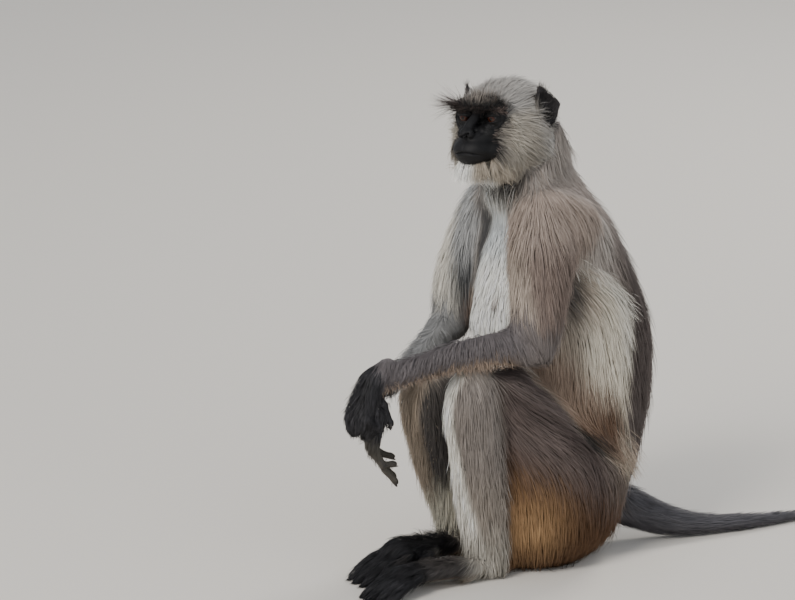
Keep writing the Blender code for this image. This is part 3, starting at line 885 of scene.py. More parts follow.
def trunk_flow(places):
    """Down the body; the flank's hair fans out from the armpit and follows its two borders."""
    x, y, z = places.T
    side = step(0.04, 0.06, np.abs(x))
    pale = side * step(0.006, -0.006, y - flank_edge(z))
    fan = pale * step(0.28, 0.34, z) * step(0.03, -0.04, y)
    slope = np.clip((flank_edge(z - 0.004) - flank_edge(z + 0.004)) / 0.008, -0.2, 2.2)
    along_edge = side * bump(y, flank_edge(z), 0.024) * step(0.28, 0.31, z) * step(0.42, 0.39, z)
    above = z - thigh_crease(y)
    low = side * step(0.060, 0.012, above) * step(-0.006, 0.004, above) * step(0.05, 0.00, y)
    back = 0.10 * step(0.40, 0.46, z) + 0.8 * fan + slope * along_edge + 1.4 * low
    return columns(x * 1.5, back, -1)


# %% The flow of each part
flow = np.zeros_like(skin_at)
for node, mine in on_part.items():
    here = skin_at[mine]
    x, y, z = here.T
    ones = np.ones(len(here))
    side = RIGHT if node.endswith("right") else LEFT
    if node == "head":
        way = head_flow(here)
    elif node.startswith("ear"):
        way = columns(0.1 * side * ones, 0.45, 0.9) @ turn_array.T
    elif node == "neck":
        way = columns(x * 7, (y + 0.07) * 4, -1)
    elif node in ("chest", "belly"):
        way = trunk_flow(here)
    elif node.startswith("upper_arm"):
        way = columns(0.15 * side, -0.05 + 0.25 * step(-0.11, -0.06, y), -1)
    elif node.startswith("forearm"):
        way = columns(0.45 * side, 0.35 - 0.85 * step(-0.11, -0.24, y), -1)
    elif node.startswith("hand"):
        way = columns(0, -0.25, -ones)
    elif node.startswith("thigh"):
        way = columns(0, 0.05 + 1.15 * step(0.10, 0.19, z), -1)
    elif node.startswith("lower_leg"):
        way = columns(x - 0.058 * side, 0.06 + 0.25 * step(0.235, 0.26, z), -1.06)
    elif node.startswith("foot"):
        ankle = step(0.0, 0.03, y + (0.198 if side == LEFT else 0.150))
        way = columns(0.12, -1 + 0.4 * ankle, -0.35 - 0.75 * ankle)
    else:
        gaps = np.linalg.norm(here[:, None] - TAIL_ROUTE[None, :-1], axis=2)
        way = (TAIL_ROUTE[1:] - TAIL_ROUTE[:-1])[np.argmin(gaps, axis=1)]
    flow[mine] = unit(way)
flow = neighbours.soften(flow, 12)
flow = unit(flow - skin_normal * np.sum(flow * skin_normal, axis=1, keepdims=True))
print("points with a direction:", len(flow))

# %% [markdown]
# The room for the coat is the distance from the skin to the outline. The lower shins, the hands
# and the feet get a little more, and the armpits and the short-haired breast less.

# %% Room for the coat
room = np.array([outline_tree.find_nearest(p)[3] for p in skin_at])
room = softened(np.clip(room, 0.0005, 0.020), 6)
x, y, z = skin_at.T
on_shin, on_foot, on_hand, on_trunk = (
    of_parts(labels, *words) for words in (("lower_leg",), ("foot",), ("hand",), ("chest", "belly"))
)
room *= 1 + 0.8 * on_shin * step(0.17, 0.09, z)
room = np.maximum(room, softened(0.0040 * on_foot + 0.0028 * on_hand, 12))
room *= 1 - 0.65 * armpit(skin_at) - 0.35 * breast(skin_at) * on_part["chest"]
print("mean room for the coat:", round(float(room.mean()) * 1000, 1), "mm")

# %% [markdown]
# ## Markings
#
# One function gives the colour of the animal at any place on it, and both the skin and the coat
# ask it, so the two always agree. Colours are written as linear values. The breast is white, the
# flanks are cream, the crown and cheeks pale grey, the back slate, and the lower thigh rust and
# ochre. Each boundary is a line in the body's own coordinates, blurred as hair blurs it. The same
# function also paints shade: on the top of the breast, in the armpits, in the crease over the thigh
# and just under it, under the head, on the inner shins and over the near side and rear of the face.
# It paints light onto the cape, over its own paler hair, and onto the front of the muzzle.

# %% Colours by place
BLACK = np.array((0.0165, 0.0160, 0.0175))
FACE_BLACK = BLACK * 0.5
COLOURS = {
    "head": (0.370, 0.350, 0.325), "ear": (0.022, 0.020, 0.021), "neck": (0.300, 0.264, 0.236),
    "chest": (0.285, 0.240, 0.212), "belly": (0.285, 0.240, 0.212),
    "upper_arm": (0.215, 0.165, 0.140), "forearm": (0.138, 0.123, 0.125), "hand": BLACK * 1.8,
    "thigh": (0.130, 0.102, 0.093), "lower_leg": (0.240, 0.210, 0.188), "foot": BLACK * 1.15,
    "tail": (0.096, 0.092, 0.100),
}
CREAM = np.array((0.730, 0.670, 0.550))
PALE = np.array((0.780, 0.740, 0.650))
WHITE = np.array((0.930, 0.925, 0.865))
SLATE = np.array((0.098, 0.079, 0.072))
OCHRE = np.array((0.330, 0.200, 0.098))
RUST = np.array((0.098, 0.050, 0.025))
TAN = np.array((0.350, 0.285, 0.230))
DARK = np.array((0.055, 0.050, 0.047))
BEARD = np.array((0.400, 0.345, 0.275))
# The middle line of each shin, as (height, distance back).
SHIN_LEFT = (
    (0.030, -0.142), (0.060, -0.150), (0.110, -0.157), (0.170, -0.166), (0.220, -0.174), (0.243, -0.168),
)
SHIN_RIGHT = (
    (0.030, -0.121), (0.060, -0.127), (0.095, -0.137), (0.140, -0.149), (0.192, -0.162), (0.212, -0.158),
)
# The height of the top of the ochre on the haunch, and of the near forearm's bone, by distance back.
OCHRE_TOP = ((-0.136, 0.150), (-0.115, 0.132), (-0.080, 0.112), (-0.037, 0.088), (0.010, 0.064))
FOREARM_LEVEL = ((-0.290, 0.265), (-0.250, 0.274), (-0.195, 0.287), (-0.150, 0.292), (-0.110, 0.290))
# How far round from straight ahead the bare face reaches, in degrees, by height in the head.
FACE_EDGE = (
    (-0.0545, -20), (-0.0525, 8), (-0.0500, 24), (-0.0440, 38), (-0.0340, 44), (-0.0250, 43), (-0.0200, 43),
    (-0.0140, 46), (-0.0100, 51), (-0.0070, 56), (0.0000, 62), (0.0060, 64), (0.0120, 60), (0.0180, 52),
)


def mixed(colour, other, share):
    """The colours moved towards another, each by its own share."""
    return colour + (np.asarray(other) - colour) * np.clip(share, 0, 1)[:, None]


def painted(colour, layers):
    """The colours with each layer, a colour and its share, laid over them in turn."""
    for other, share in layers:
        colour = mixed(colour, other, share)
    return colour


def face_mask(places, soft=0.0015, grow=0.0):
    """1 on the bare black face, 0 outside it, in the head's own frame."""
    left, ahead, up = in_head(places).T
    round_by = np.arctan2(np.abs(left), ahead - 0.020)
    past = (round_by - np.radians(np.interp(up, *zip(*FACE_EDGE)))) * np.hypot(left, ahead - 0.020)
    inside = 1 - step(-soft, soft, past - grow)
    return inside * (1 - step(0.016 - soft, 0.016 + soft, up - grow)) * step(0.022, 0.028, ahead)


# %% Trunk and haunch
def trunk_colour(colour, places, trunk):
    """The dark back, the white breast, and the cream flank with its rims, tans and painted shade."""
    x, y, z = places.T
    side = step(0.040, 0.055, np.abs(x))
    behind = y - flank_edge(z)
    above = z - thigh_crease(y)
    front = breast(places)
    back = step(0.005, 0.055, y) * step(0.46, 0.39, z)
    dark = np.maximum(back, step(-0.002, 0.014, behind) * step(0.36, 0.32, z))
    pale = trunk * side * step(0.006, -0.006, behind) * step(-0.004, 0.010, above)
    low_rim = step(-0.024, -0.004, behind) * step(0.235, 0.27, z)
    high_rim = bump(behind, -0.004, 0.010) * step(0.33, 0.35, z) * step(0.405, 0.385, z) * side
    cape = side * step(0.345, 0.385, z) * step(0.450, 0.420, z) * step(0.030, 0.000, y)
    cape *= step(-0.002, 0.012, behind)
    far_front = step(-0.050, -0.085, y - 0.5 * np.abs(x)) * step(0.000, -0.012, x) * (1 - front)
    brown = spot(y, z, (-0.006, 0.174), (0.036, 0.026))
    core = spot(y, z, (-0.022, 0.158), (0.018, 0.013))
    fold = step(0.020, 0.006, above) * step(-0.024, -0.008, above) * step(0.016, -0.004, y)
    return painted(colour, (
        (SLATE, trunk * dark),
        (WHITE, trunk * front * step(0.478, 0.445, z)),
        # painted shade: the top of the breast is painted a cool grey
        ((0.640, 0.680, 0.690), trunk * front * step(0.350, 0.400, z)),
        (CREAM, pale),
        (PALE, pale * low_rim),
        (PALE, trunk * high_rim),
        # the cape is painted paler: partly its own paler hair, partly painted light where it faces up and
        # back
        ((0.520, 0.465, 0.415), trunk * cape * 0.85),
        ((0.085, 0.084, 0.085), trunk * far_front * step(0.30, 0.34, z)),
        (TAN * 1.25, pale * step(0.27, 0.33, z) * step(0.010, -0.020, y) * 0.8),
        (TAN * 0.85, pale * step(-0.015, -0.045, y) * 0.8),
        ((0.260, 0.186, 0.138), pale * step(0.128, 0.060, above) * step(0.036, 0.008, y) * 0.95),
        ((0.125, 0.074, 0.047), pale * np.clip(brown * 1.3, 0, 1)),
        # painted shade in the crease over the thigh, darkest at its core, and in the armpit
        (DARK * 0.5, trunk * side * np.clip(core * 1.3, 0, 1)),
        (DARK * 0.45, trunk * side * fold),
        (DARK * 1.1, trunk * np.clip(armpit(places) * 1.2, 0, 1) * 0.9),
    ))


def haunch_colour(colour, places, trunk, limb):
    """The brown-grey thigh and hip, with rust below and a golden patch in the rust."""
    x, y, z = places.T
    above = z - thigh_crease(y)
    haunch = np.clip(limb + trunk * step(0.035, 0.050, np.abs(x)), 0, 1) * step(0.006, -0.006, above)
    over_ochre = z - np.interp(y, *zip(*OCHRE_TOP))
    gold = spot(y, z, (-0.104, 0.068), (0.040, 0.046))
    return painted(colour, (
        ((0.120, 0.092, 0.083), haunch),
        ((0.160, 0.130, 0.112), haunch * step(-0.02, 0.02, y) * step(0.06, 0.09, z)),
        # painted shade just under the crease, on the front of the thigh
        ((0.082, 0.062, 0.056), haunch * step(-0.030, -0.010, above) * step(0.00, -0.03, y)),
        ((0.145, 0.130, 0.120), haunch * step(-0.140, -0.175, y) * step(0.17, 0.22, z)),
        (RUST, haunch * step(0.040, -0.030, over_ochre)),
        (OCHRE, haunch * step(0.045, -0.030, over_ochre) * gold),
        ((0.125, 0.068, 0.034), haunch * step(0.045, 0.015, z) * step(-0.11, -0.06, y) * 0.8),
    ))


# %% Arms and legs
def arm_colour(colour, places, arm, fore):
    """Brown near arm with a paler edge, grey far arm with a cream edge, and dark wrists."""
    x, y, z = places.T
    near, far = step(-0.002, 0.006, x), step(0.002, -0.006, x)
    ahead_of_bone = far * step(0.004, -0.014, y + 0.108 - 0.51 * (z - 0.296))
    inner = step(-0.082, -0.068, x) * step(0.385, 0.345, z)
    under = step(-0.006, -0.014, z - np.interp(y, *zip(*FOREARM_LEVEL)))
    wrist = np.where(x > 0, step(-0.288, -0.318, y), step(-0.215, -0.245, y))
    return painted(colour, (
        ((0.400, 0.325, 0.275), arm * near * step(0.385, 0.430, z) * 0.85),
        ((0.490, 0.415, 0.345), arm * near * step(-0.110, -0.124, y) * step(0.30, 0.34, z) * 0.9),
        ((0.168, 0.153, 0.150), arm * near * step(0.330, 0.300, z) * 0.8),
        ((0.400, 0.405, 0.405), arm * ahead_of_bone),
        ((0.090, 0.093, 0.096), arm * ahead_of_bone * inner),
        ((0.740, 0.700, 0.610), arm * ahead_of_bone * step(-0.068, -0.084, x) * 0.9),
        ((0.300, 0.225, 0.168), fore * near * under * step(-0.285, -0.25, y) * step(-0.120, -0.160, y)),
        ((0.270, 0.272, 0.270), fore * far * 0.95),
        ((0.190, 0.166, 0.157), fore * near * step(-0.150, -0.115, y) * 0.9),
        ((0.072, 0.066, 0.068), fore * wrist),
    ))


def leg_colour(colour, places, shin, feet):
    """Grey shins with a white stripe on the near one, and black feet with tan edges to their soles."""
    x, y, z = places.T
    near, far = step(-0.002, 0.006, x), step(0.002, -0.006, x)
    shin_line = np.where(x > 0, np.interp(z, *zip(*SHIN_LEFT)), np.interp(z, *zip(*SHIN_RIGHT)))
    ahead = shin_line - y
    inner = step(0.052, 0.040, np.abs(x))
    stripe = step(0.073, 0.066, np.abs(x)) * step(0.034, 0.042, np.abs(x)) * step(-0.006, 0.006, ahead)
    behind = np.where(x > 0.015, step(-0.262, -0.228, y), step(-0.165, -0.135, y))
    ankle = step(-0.200, -0.165, y) * near + step(-0.150, -0.125, y) * far
    return painted(colour, (
        ((0.150, 0.120, 0.100), shin * step(-0.012, -0.024, ahead) * step(0.08, 0.13, z) * 0.8),
        # painted shade on the inner side of each shin
        (DARK * 1.8, shin * inner * step(0.070, 0.105, z)),
        ((0.660, 0.620, 0.500), shin * far * step(0.115, 0.075, z)),
        ((0.330, 0.285, 0.240), shin * near * step(0.16, 0.10, z) * (1 - stripe) * 0.7),
        ((0.960, 0.920, 0.820), shin * near * stripe),
        ((0.400, 0.325, 0.250), shin * far * stripe * step(0.07, 0.10, z) * step(0.002, 0.008, ahead)),
        ((0.300, 0.265, 0.230), shin * step(0.245, 0.262, z + far * 0.03) * 0.7),
        ((0.400, 0.372, 0.318), shin * near * step(0.085, 0.030, z) * 0.85),
        ((0.064, 0.057, 0.053), feet * behind * 0.9),
        ((0.430, 0.400, 0.345), feet * ankle * step(0.004, 0.010, z) * 0.9),
        ((0.300, 0.215, 0.145), feet * behind * step(0.015, 0.008, z) * (1 - ankle)),
    ))


# %% The whole animal
def head_colour(colour, places, share):
    """Grey cheeks and ruff, a brown forehead, a white beard, and the bare black face."""
    left, ahead, up = in_head(places).T
    forehead = step(0.012, 0.018, up) * step(0.020, 0.038, ahead)
    brow = step(0.0175, 0.0145, up) * step(0.010, 0.014, up) * step(0.034, 0.042, ahead + 8 * left**2)
    beard = step(-0.044, -0.051, up) * step(0.004, 0.030, ahead)
    ruff = step(0.004, -0.022, ahead) * step(0.000, -0.025, up) * step(0.012, 0.028, np.abs(left))
    far_cheek = step(-0.022, -0.029, left) * step(0.006, 0.026, ahead) * step(0.012, 0.002, up)
    edge = face_mask(places, 0.0060, 0.0050) * (1 - beard) * step(0.018, 0.012, up)
    colour = painted(colour, (
        ((0.385, 0.345, 0.285), share * step(-0.010, 0.020, ahead) * step(0.010, -0.005, up) * 0.9),
        ((0.270, 0.245, 0.208), share * step(-0.022, -0.042, up) * step(-0.020, 0.010, ahead) * 0.8),
        ((0.250, 0.212, 0.176), share * forehead * 0.85),
        ((0.110, 0.082, 0.064), share * brow),
        (BEARD, share * beard),
        (WHITE, share * beard * step(0.016, 0.000, left)),
        ((0.560, 0.530, 0.490), share * ruff * 0.9),
        ((0.520, 0.475, 0.400), share * far_cheek * 0.9),
        (DARK * 1.2, share * edge * 0.8),
    ))
    # painted shade and light on the bare face: darker over its near side and rear, lighter at the front
    front = step(0.024, 0.006, left) * step(0.040, 0.060, ahead)
    tone = (0.30 + 0.90 * front)[:, None]
    return colour + (FACE_BLACK * tone - colour) * (share * face_mask(places))[:, None]


def markings_and_painted_light(places, parts):
    """Colour, painted shade and light at places with these part weights (one column a part of FLESH)."""
    share = {w: sum(parts[:, i] for i, n in enumerate(FLESH) if n.startswith(w)) for w in COLOURS}
    trunk = share["chest"] + share["belly"]
    colour = trunk_colour(parts @ part_values(COLOURS), places, trunk)
    colour = haunch_colour(colour, places, trunk, share["thigh"])
    x, y, z = places.T
    # painted shadow under the head, on the front of the throat
    throat = share["neck"] * step(-0.075, -0.100, y) * step(0.050, 0.030, np.abs(x - 0.005))
    colour = painted(colour, (
        ((0.045, 0.039, 0.034), throat * step(0.450, 0.470, z)),
        (WHITE, share["neck"] * step(-0.085, -0.110, y) * step(0.470, 0.455, z)),
    ))
    colour = arm_colour(colour, places, share["upper_arm"], share["forearm"])
    colour = leg_colour(colour, places, share["lower_leg"], share["foot"])
    bare_fingers = share["hand"] * step(0.002, -0.002, x) * step(0.178, 0.160, z)
    colour = mixed(colour, (0.085, 0.077, 0.065), bare_fingers)
    for side in SIDES:
        gap = np.hypot(x - side * NIPPLE.x, z - NIPPLE.z) + step(-0.110, -0.100, y)
        colour = mixed(colour, (0.260, 0.210, 0.190), step(0.0050, 0.0030, gap))
    colour = head_colour(colour, places, share["head"])
    ahead, up = in_head(places).T[1:]
    fringe = step(0.000, 0.006, ahead - 0.35 * up + 0.012) * share["ear"]
    return mixed(colour, (0.160, 0.146, 0.128), fringe * 0.7)


part_weights = np.zeros((len(skin_at), len(FLESH)))
part_weights[np.arange(len(skin_at)), labels] = 1
part_weights = neighbours.soften(part_weights, 5)
skin_colour = markings_and_painted_light(skin_at, part_weights)
print("mean colour of the skin:", skin_colour.mean(axis=0).round(3))

# %% [markdown]
# ## Skin and coat materials
#
# The colours ride on the meshes as an attribute. The skin's own material adds the fine grain that
# the bare face shows, as a bump from a noise. The hair's material is soft and barely glossy, and
# the shape of each lock does the rest.


# %% Materials
def new_node(material, kind, settings=None):
    """Adds a node of the given kind, with the settings on its inputs."""
    node = material.node_tree.nodes.new("ShaderNode" + kind)
    set_sockets(node, settings or {})
    return node


def join(material, *ends):
    """Links each (node, output) to the (node, input) that follows it."""
    for (source, out_of), (target, into) in zip(ends[::2], ends[1::2]):
        material.node_tree.links.new(source.outputs[out_of], target.inputs[into])


def marked_material(name, settings):
    """A material that takes its colour from the Markings attribute."""
    material, shader = new_material(name, settings)
    colour = new_node(material, "Attribute")
    colour.attribute_name = "MarkingsAndPaintedLight"
    join(material, (colour, "Color"), (shader, "Base Color"))
    return material, shader


def hide_material(name, settings, height):
    """A marked material with a fine bump of the given height."""
    material, shader = marked_material(name, settings)
    place = new_node(material, "TexCoord")
    grain = new_node(material, "TexNoise", {"Scale": 900, "Detail": 5})
    bumps = new_node(material, "Bump", {"Strength": 0.6, "Distance": height})
    join(
        material,
        (place, "Object"), (grain, "Vector"),
        (grain, "Fac"), (bumps, "Height"),
        (bumps, "Normal"), (shader, "Normal"),
    )
    return material


SOFT = {"Roughness": 0.58, "Specular IOR Level": 0.22}
skin_material = hide_material("bare_skin", SOFT, 0.0005)
coat_material = marked_material("coat_hair", SOFT)[0]


def paint(mesh, colour):
    """Writes one colour a vertex to the Markings attribute."""
    layer = mesh.color_attributes.new("MarkingsAndPaintedLight", "FLOAT_COLOR", "POINT")
    values = np.ones((len(mesh.vertices), 4))
    values[:, :3] = colour
    layer.data.foreach_set("color", values.ravel())


# under a deep coat the skin is painted at 0.85 of its colour, as painted shade beneath the hair
paint(skin.data, skin_colour * np.where(room[:, None] > 0.003, 0.85, 1.0))
skin.data.materials.clear()
skin.data.materials.append(skin_material)
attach(skin, "root")
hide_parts(*FLESH)
print("materials:", skin_material.name, "and", coat_material.name)

# %% [markdown]
# ## Eyes
#
# Each eye is a glass ball with a slight bulge for the cornea. The colour is a rule on the angle
# from the gaze: a black pupil, a dark red-brown iris with fine spokes, a darker ring, and brown
# behind it. A clear coat gives the wet highlight.

# %% Eyes
GAZE = head_turn @ Vector((0.10, -1, -0.02)).normalized()
GAZE_TURN = GAZE.to_track_quat("Z", "Y")
EYE_GLOSS = {"Roughness": 0.12, "Specular IOR Level": 0.2, "Coat Weight": 0.3, "Coat Roughness": 0.02}
IRIS = (
    # distance from the gaze in eye radii, colour
    (0.22, (0.002, 0.0015, 0.0015)),
    (0.28, (0.036, 0.011, 0.005)),
    (0.46, (0.030, 0.009, 0.005)),
    (0.60, (0.010, 0.005, 0.004)),
    (0.74, (0.006, 0.004, 0.004)),
    (1.0, (0.012, 0.008, 0.007)),
)


def eye_material(side):
    """Glass with rings of colour round the gaze."""
    material, shader = new_material("eye_" + SIDES[side], EYE_GLOSS)
    place = new_node(material, "TexCoord")
    centred = new_node(material, "Mapping")
    centred.vector_type = "TEXTURE"
    set_sockets(centred, {"Location": eye_middle[side], "Rotation": GAZE_TURN.to_euler()})
    flat_part = new_node(material, "VectorMath", {1: (1 / EYE_RADIUS, 1 / EYE_RADIUS, 0)})
    flat_part.operation = "MULTIPLY"
    radius = new_node(material, "VectorMath")
    radius.operation = "LENGTH"
    spokes = new_node(material, "TexNoise", {"Scale": 9, "Detail": 3})
    jitter = new_node(material, "Math", {1: 0.10})
    jitter.operation = "MULTIPLY_ADD"
    rings = new_node(material, "ValToRGB")
    stops = rings.color_ramp.elements
    for i, (reach, colour) in enumerate(IRIS):
        stop = stops[i] if i < len(stops) else stops.new(reach)
        stop.position = reach
        stop.color = (*colour, 1)
    join(
        material,
        (place, "Object"), (centred, "Vector"),
        (centred, "Vector"), (flat_part, 0),
        (flat_part, "Vector"), (radius, 0),
        (flat_part, "Vector"), (spokes, "Vector"),
        (spokes, "Fac"), (jitter, 0),
        (radius, "Value"), (jitter, 2),
        (jitter, "Value"), (rings, "Fac"),
        (rings, "Color"), (shader, "Base Color"),
    )
    return material


for side, word in SIDES.items():
    shape = bmesh.new()
    bmesh.ops.create_uvsphere(shape, u_segments=48, v_segments=32, radius=EYE_RADIUS - 0.0002)
    for vert in shape.verts:
        rise = max(vert.co.normalized().z - 0.80, 0) / 0.20
        vert.co *= 1 + 0.06 * rise * (2 - rise)
    turn = Matrix.Translation(eye_middle[side]) @ GAZE_TURN.to_matrix().to_4x4()
    bmesh.ops.transform(shape, matrix=turn, verts=shape.verts)
    eyeball = new_object("eyeball_" + word, shape)
    eyeball.data.shade_smooth()
    eyeball.data.materials.append(eye_material(side))
    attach(eyeball, "root")
    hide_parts("eye_" + word)
    print(eyeball.name, len(eyeball.data.polygons), "faces")

# %% [markdown]
# ## Nails
#
# Langurs have flat, narrow, dark nails on every finger and toe. Each is a small curved plate: a
# squashed ball, bent down at its sides, laid on the back of the digit's tip.

# %% Nails
nail_material = hide_material("nail_horn", {"Roughness": 0.35}, 0.0001)
shape = bmesh.new()
for place, way, back, size in nail_places:
    side = way.cross(back).normalized()
    rows = (way * size * 1.15, side * size * 0.72, back * size * 0.20)
    turn = Matrix.Translation(place + way * size * 0.35) @ Matrix(rows).transposed().to_4x4()
    made = bmesh.ops.create_uvsphere(shape, u_segments=16, v_segments=8, radius=1)["verts"]
    for vert in made:
        vert.co.z -= 1.6 * vert.co.y**2
    bmesh.ops.transform(shape, matrix=turn, verts=made)
for vert in shape.verts:
    vert.co.z = max(vert.co.z, 0.0003)
nails = new_object("nails", shape)
nails.data.shade_smooth()
paint(nails.data, (0.055, 0.048, 0.045))
nails.data.materials.append(nail_material)
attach(nails, "root")
print("nails:", len(nails.data.polygons), "faces")

# %% [markdown]
# ## Locks of hair
#
# A lock is a thin three-sided spindle: it starts as a point in the skin, swells, and ends in a
# point. More than a hundred thousand of them make the coat, so they are computed together with
# arrays. Each lock walks over the skin: it steps along the lie of the coat, drops to the skin
# beside it, and rises above it by a share of the room that the outline leaves. Locks lean a little
# towards the nearest leader, which gathers the coat into strands, as long silky hair does.

# %% Growing locks
skin_tree = surface_of(skin.data)
triangles = np.empty(len(skin.data.polygons) * 3, dtype=np.int64)
skin.data.loops.foreach_get("vertex_index", triangles)
triangles = triangles.reshape(-1, 3)
tri_at = skin_at[triangles]
crossed = np.cross(tri_at[:, 1] - tri_at[:, 0], tri_at[:, 2] - tri_at[:, 0])
face_area = np.linalg.norm(crossed, axis=1) / 2
print("skin to grow on:", round(float(face_area.sum()), 3), "square metres")
ROOT_DEPTH = 0.0010
# How a lock's height over the skin, and its lean towards its leader, grow along it.
RISE_POWER, LEAN_POWER = 0.7, 1.4
LOCKS_A_LEADER = 7
LEADER_REACH = 0.014


def onto_skin(places):
    """The nearest skin to each place: its spot, face and the shares of the face's corners."""
    hits = [skin_tree.find_nearest(p) for p in places.tolist()]
    spots = np.array([h[0] for h in hits])
    faces = np.array([h[2] for h in hits])
    a, b, c = np.moveaxis(tri_at[faces], 1, 0)
    ab, ac, ap = b - a, c - a, spots - a
    dots = [np.sum(p * q, axis=1) for p, q in ((ab, ab), (ab, ac), (ac, ac), (ap, ab), (ap, ac))]
    under = np.maximum(dots[0] * dots[2] - dots[1] ** 2, 1e-18)
    v = (dots[2] * dots[3] - dots[1] * dots[4]) / under
    w = (dots[0] * dots[4] - dots[1] * dots[3]) / under
    return spots, faces, np.stack((1 - v - w, v, w), 1)


def roots_on(density, count):
    """Random places on the skin, as face numbers and shares of their three corners."""
    odds = face_area * density[triangles].mean(axis=1)
    faces = chance.choice(len(odds), size=count, p=odds / odds.sum())
    a, b = chance.random(count), chance.random(count)
    over = a + b > 1
    a[over], b[over] = 1 - a[over], 1 - b[over]
    return faces, np.stack((1 - a - b, a, b), 1)


def spread(values, faces, shares):
    """The values of the skin's points, blended at places given by face and corner shares."""
    return np.einsum("nkc,nk->nc", values[triangles[faces]], shares)


def flat_across(way, normal):
    """The way laid flat against the surface."""
    return unit(way - normal * np.sum(way * normal, axis=1, keepdims=True))


skin_room = np.concatenate((skin_normal, flow, room[:, None]), axis=1)


def walk(faces, shares, turn, length, fill, steps, cling):
    """The middle line of each lock, and the skin's normal beside it."""
    place = spread(skin_at, faces, shares)
    about = spread(skin_room, faces, shares)
    normal, way = unit(about[:, :3]), unit(about[:, 3:6])
    way = unit(way + np.cross(normal, way) * turn[:, None])
    points, normals = [place - normal * ROOT_DEPTH], [normal]
    for k in range(1, steps + 1):
        ahead = place + way * (length / steps)[:, None]
        spots, faces, shares = onto_skin(ahead)
        about = spread(skin_room, faces, shares)
        near = unit(about[:, :3])
        normal = unit(normal * 0.4 + near * 0.6)
        place = ahead + (spots - ahead) * cling[:, None]
        rise = about[:, 6] * fill * (k / steps) ** RISE_POWER
        points.append(place + normal * rise[:, None])
        normals.append(normal)
        steer = unit(about[:, 3:6])
        steer = unit(steer + np.cross(near, steer) * turn[:, None])
        way = unit(way * 0.45 + steer * 0.55 * cling[:, None])
        way = flat_across(way, normal * cling[:, None] ** 2)
    return np.stack(points, 1), np.stack(normals, 1)


def gathered(lines, share):
    """Leans each lock towards its leader; also gives each lock's leader."""
    start = lines[:, 0]
    count = len(start)
    leaders = chance.choice(count, size=max(count // LOCKS_A_LEADER, 1), replace=False)
    leader_tree = KDTree(len(leaders))
    for i, leader in enumerate(leaders):
        leader_tree.insert(start[leader], i)
    leader_tree.balance()
    follow = leaders[[leader_tree.find(p)[1] for p in start.tolist()]]
    apart = np.linalg.norm(start[follow] - start, axis=1)
    pull = (share * (1 - step(LEADER_REACH * 0.5, LEADER_REACH, apart)))[:, None, None]
    along = (np.linspace(0, 1, lines.shape[1]) ** LEAN_POWER)[None, :, None]
    return lines + (lines[follow] - lines) * pull * along, follow


# %% Locks as meshes
PIECE_LIMIT = 190000
BAKE_PATCH = 0.003
# How thick a lock is, as (share of its length, share of its width), and how light at its two ends.
GIRTH = ((0, 0.7), (0.35, 1.0), (0.75, 0.62), (1, 0.2))
ROOT_SHADE, TIP_SHADE = 0.88, 1.08
DARKEST, PALEST = 0.004, 0.95
# How far the top of a lock rises and its two sides drop, in shares of its thickness.
CREST, DROP = 0.6, 0.3


def spindle_faces(rings):
    """Faces of one lock: a fan from the root, bands between its rings, and a fan to the tip."""
    faces, tip = [], 3 * rings + 1
    for a, b in ((0, 1), (1, 2), (2, 0)):
        faces.append((0, 1 + a, 1 + b))
        for k in range(rings - 1):
            near, far = 1 + 3 * k, 4 + 3 * k
            faces += [(near + a, far + a, far + b), (near + a, far + b, near + b)]
        faces.append((tip - 3 + a, tip, tip - 3 + b))
    return np.array(faces)


